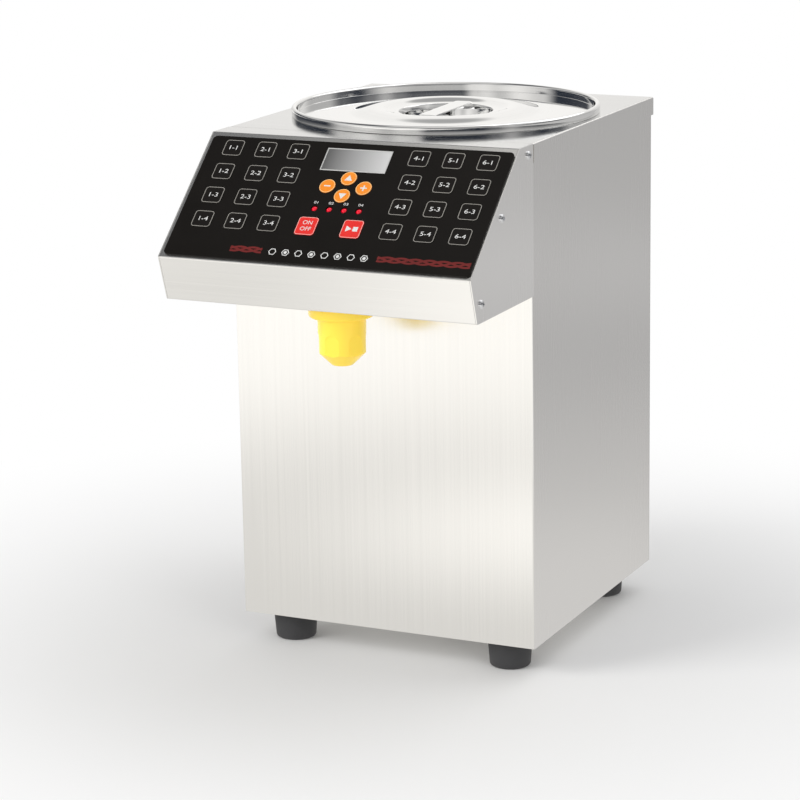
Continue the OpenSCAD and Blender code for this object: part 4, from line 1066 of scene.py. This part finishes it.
def joinOnSlope(name, parts):
    # parts: (mesh, material name), in slope coordinates
    bm = bmesh.new()
    used = list(dict.fromkeys(material for mesh, material in parts))
    for mesh, material in parts:
        first = len(bm.faces)
        bm.from_mesh(mesh)
        bm.faces.ensure_lookup_table()
        for face in bm.faces[first:]:
            face.material_index = used.index(material)
        bpy.data.meshes.remove(mesh)
    obj = newObject(name, meshFrom(name, bm, False))
    obj.data.transform(slope)
    return setMaterial(obj, *used)


def meshOfTree(name, tree, values):
    obj = runTree(newObject(name, bpy.data.meshes.new(name)), tree, values)
    mesh = obj.data
    bpy.data.objects.remove(obj)
    return mesh


def makeKey(node, film, slot, prints, s=keyShapeSet):
    low, high = limits(slopePoints(node))
    w, h, depth = high - low
    isRound = abs(w - h) < s["roundWithin"] * mm
    corner = w / 2 - s["roundGap"] * mm if isRound else s["corner"][slot] * mm
    cap = meshOfTree(node, keyPlate, {
        "Width": w, "Height": h, "Corner": corner, "Thickness": depth, "Edge": s["edge"] * mm,
        "Corner Steps": s["roundSteps"] if isRound else s["steps"], "Material": mats[film]})
    parts = [(cap, film, low.z)] + [(mesh, inkName, high.z) for mesh, inkName in prints(w, h, corner)]
    for mesh, material, z in parts:
        mesh.transform(Matrix.Translation(((low.x + high.x) / 2, (low.y + high.y) / 2, z)))
    finish(joinOnSlope(node + "_cap", [part[:2] for part in parts]), node, slot, node)


def numberPrints(label):
    def prints(w, h, corner):
        gap = printSet["outlineInset"] * mm
        outline = outlineMesh("outline", w - 2 * gap, h - 2 * gap, corner - gap,
                              printSet["outlineWidth"] * mm, ink)
        digits = textMesh(label, printSet["digitSize"], stretch=printSet["digitStretch"])
        return [(outline, "outlineInk"), (digits, "whiteInk")]
    return prints


def framedPrints(rimInk, shapes=(), words=()):
    # shapes: outlines as shares of the key's half width; words: (text, size in mm, rise in mm)
    def prints(w, h, corner):
        gap = printSet["rimInset"] * mm
        rim = outlineMesh("rim", w - 2 * gap, h - 2 * gap, corner - gap, printSet["rimWidth"] * mm, ink)
        white = [shapeMesh("sign", [(x * w / 2, y * w / 2) for x, y in shape]) for shape in shapes]
        white += [textMesh(text, size, 0, rise * mm) for text, size, rise in words]
        return [(rim, rimInk)] + [(mesh, "whiteInk") for mesh in white]
    return prints


arrowUp = [(-0.5, -0.34), (0.5, -0.34), (0, 0.5)]
arrowDown = [(-0.5, 0.34), (0, -0.5), (0.5, 0.34)]
minusBar = [(-0.42, -0.09), (0.42, -0.09), (0.42, 0.09), (-0.42, 0.09)]
plusBar = [(-0.09, -0.42), (0.09, -0.42), (0.09, -0.09), (0.42, -0.09), (0.42, 0.09), (0.09, 0.09),
           (0.09, 0.42), (-0.09, 0.42), (-0.09, 0.09), (-0.42, 0.09), (-0.42, -0.09), (-0.09, -0.09)]
playArrow = [(-0.58, -0.34), (0.0, 0.0), (-0.58, 0.34)]
stopSquare = [(0.12, -0.26), (0.62, -0.26), (0.62, 0.26), (0.12, 0.26)]

numberKeys = sorted(n for n in nodes if n.startswith("key_") and n[4].isdigit())
for node in numberKeys:
    column, row = node.split("_")[1:]
    makeKey(node, "keyFilm", "number_keys", numberPrints(column + "-" + row))
signs = {"key_up": arrowUp, "key_down": arrowDown, "key_set": minusBar, "key_ok": plusBar}
for node, sign in signs.items():
    makeKey(node, "orangeFilm", "orange_keys", framedPrints("paleOrangeInk", [sign]))
onOff = [("ON", 5.4, 3.0), ("OFF", 5.4, -3.0)]
makeKey("key_power", "redFilm", "red_keys", framedPrints("paleRedInk", words=onOff))
makeKey("key_start", "redFilm", "red_keys", framedPrints("paleRedInk", [playArrow, stopSquare]))
print("keys made:", len(numberKeys) + len(signs) + 2)

# the lower strip; left and right are (start, stop, waves)
stripSet = {"lines": 3, "swing": 2.1, "lineWidth": 1.8, "middle": -113.2, "lift": 0.01,
            "left": (-72.0, -45.0, 0.8), "right": (51.6, 127.6, 2.2)}
motifSet = {"count": 8, "first": -35.9, "step": 11.0, "radius": 3.3, "line": 0.75, "middle": -113.6,
            "cell": 1.5}
markSet = {"size": 3.4, "rise": 5.6, "stretch": 1.3}


def hexagon(cx, cy, r):
    return arc(cx * mm, cy * mm, r * mm, 0, 300, 5)


def stripLines(s):
    for start, stop, waves in (s["left"], s["right"]):
        for k in range(s["lines"]):
            line = meshOfTree("wave", waveLine, {
                "Length": (stop - start) * mm, "Swing": s["swing"] * mm, "Waves": waves,
                "Phase": 2 * math.pi * k / s["lines"], "Line Width": s["lineWidth"] * mm, "Ink": ink,
                "Material": mats["redInk"]})
            # Each line lies a little over the last, where they cross
            lift = ink / 2 + s["lift"] * k * mm
            line.transform(Matrix.Translation((start * mm, s["middle"] * mm, lift)))
            yield line


def motifs(s):
    # A row of hexagons, every second one with a smaller one in it
    for k in range(s["count"]):
        x, y, r = s["first"] + k * s["step"], s["middle"], s["radius"]
        yield bandMesh("hexagon", hexagon(x, y, r), hexagon(x, y, r - s["line"]), ink)
        if k % 2:
            yield shapeMesh("cell", hexagon(x, y, s["cell"]))


def lensSpots():
    # The four lights' middles on the film, and their radius and height
    low, high = limits(slopePoints("status_leds"))
    r = (high.y - low.y) / 2
    pitch = (high.x - low.x - 2 * r) / 3
    return [Vector((low.x + r + k * pitch, low.y + r, low.z)) for k in range(4)], r, high.z - low.z


def marks(s):
    for k, spot in enumerate(lensSpots()[0], 1):
        yield textMesh("0" + str(k), s["size"], spot.x, spot.y + s["rise"] * mm, s["stretch"])


def makePadPrint():
    whites = list(motifs(motifSet)) + list(marks(markSet))
    parts = [(mesh, "redInk") for mesh in stripLines(stripSet)] + [(mesh, "whiteInk") for mesh in whites]
    filmTop = limits(slopePoints("keypad_overlay"))[1].z
    for mesh, material in parts:
        mesh.transform(Matrix.Translation((0, 0, filmTop)))
    return joinOnSlope("padPrint", parts)


finish(makePadPrint(), "case", "keypad_film")
print("keypad print made")


# Status lights and display

def makeStatusLights():
    spots, r, height = lensSpots()
    r, height = r / mm, height / mm
    profile = [(0, 0), (r, 0)] + arc(0, height - r, r, 0, 90, 14)
    profile[-1] = (0, height)
    shape = sharpen(lathe("lensShape", profile, Vector(), 40, closed=False), 50)
    points = [(slope @ spot, -keyAxis, 0.0) for spot in spots]
    return scatter("statusLights", points, shape, "lensRed")


finish(makeStatusLights(), "case", "status_lights", "status_leds")

displaySet = {"edge": 0.2, "border": 0.9, "borderRise": 0.12, "borderInset": 0.15, "corner": 0.5,
              "flatWithin": 0.05}


def makeDisplay(s):
    body = softEdges(copyOfNode("displayModule", "display_module"), s["edge"] * mm)
    finish(setMaterial(body, "displayWindow"), "case", "display", "display_module")
    points = slopePoints("display_module")
    top = max(p.z for p in points)
    low, high = limits([p for p in points if p.z > top - s["flatWithin"] * mm])
    w, h = (side - 2 * s["borderInset"] * mm for side in (high - low).xy)
    border = outlineMesh("displayBorder", w, h, s["corner"] * mm, s["border"] * mm, s["borderRise"] * mm)
    border.transform(Matrix.Translation(((low.x + high.x) / 2, (low.y + high.y) / 2, top)))
    border.transform(slope)
    finish(setMaterial(newObject("displayBorder", border), "borderSilver"), "case", "display")


makeDisplay(displaySet)
print("display made")


# Power inlet and switch

socketSet = {"edge": 0.3}
for node, name, body in (("power_inlet", "powerInlet", "case"), ("rocker", "powerRocker", "rocker")):
    part = softEdges(copyOfNode(name, node), socketSet["edge"] * mm)
    finish(setMaterial(part, "inletBlack"), body, "inlet_plastic", node)


# Parts inside the case keep their CAD shape

insideParts = {
    "control_board": "boardGreen", "heater_band": "heaterRed", "suction_hose": "hoseClear",
    "discharge_hose": "hoseClear", "pump_housing": "castMetal", "pump_cover": "castMetal",
    "drive_gear": "castMetal", "driven_gear": "castMetal", "valve_plunger": "castMetal",
    "pump_motor": "motorPaint", "valve_body": "castMetal", "nozzle_seal": "sealWhite",
    "power_supply": "castMetal",
}
for node, material in insideParts.items():
    setMaterial(nodes[node], material)
print("inner parts dressed:", len(insideParts))
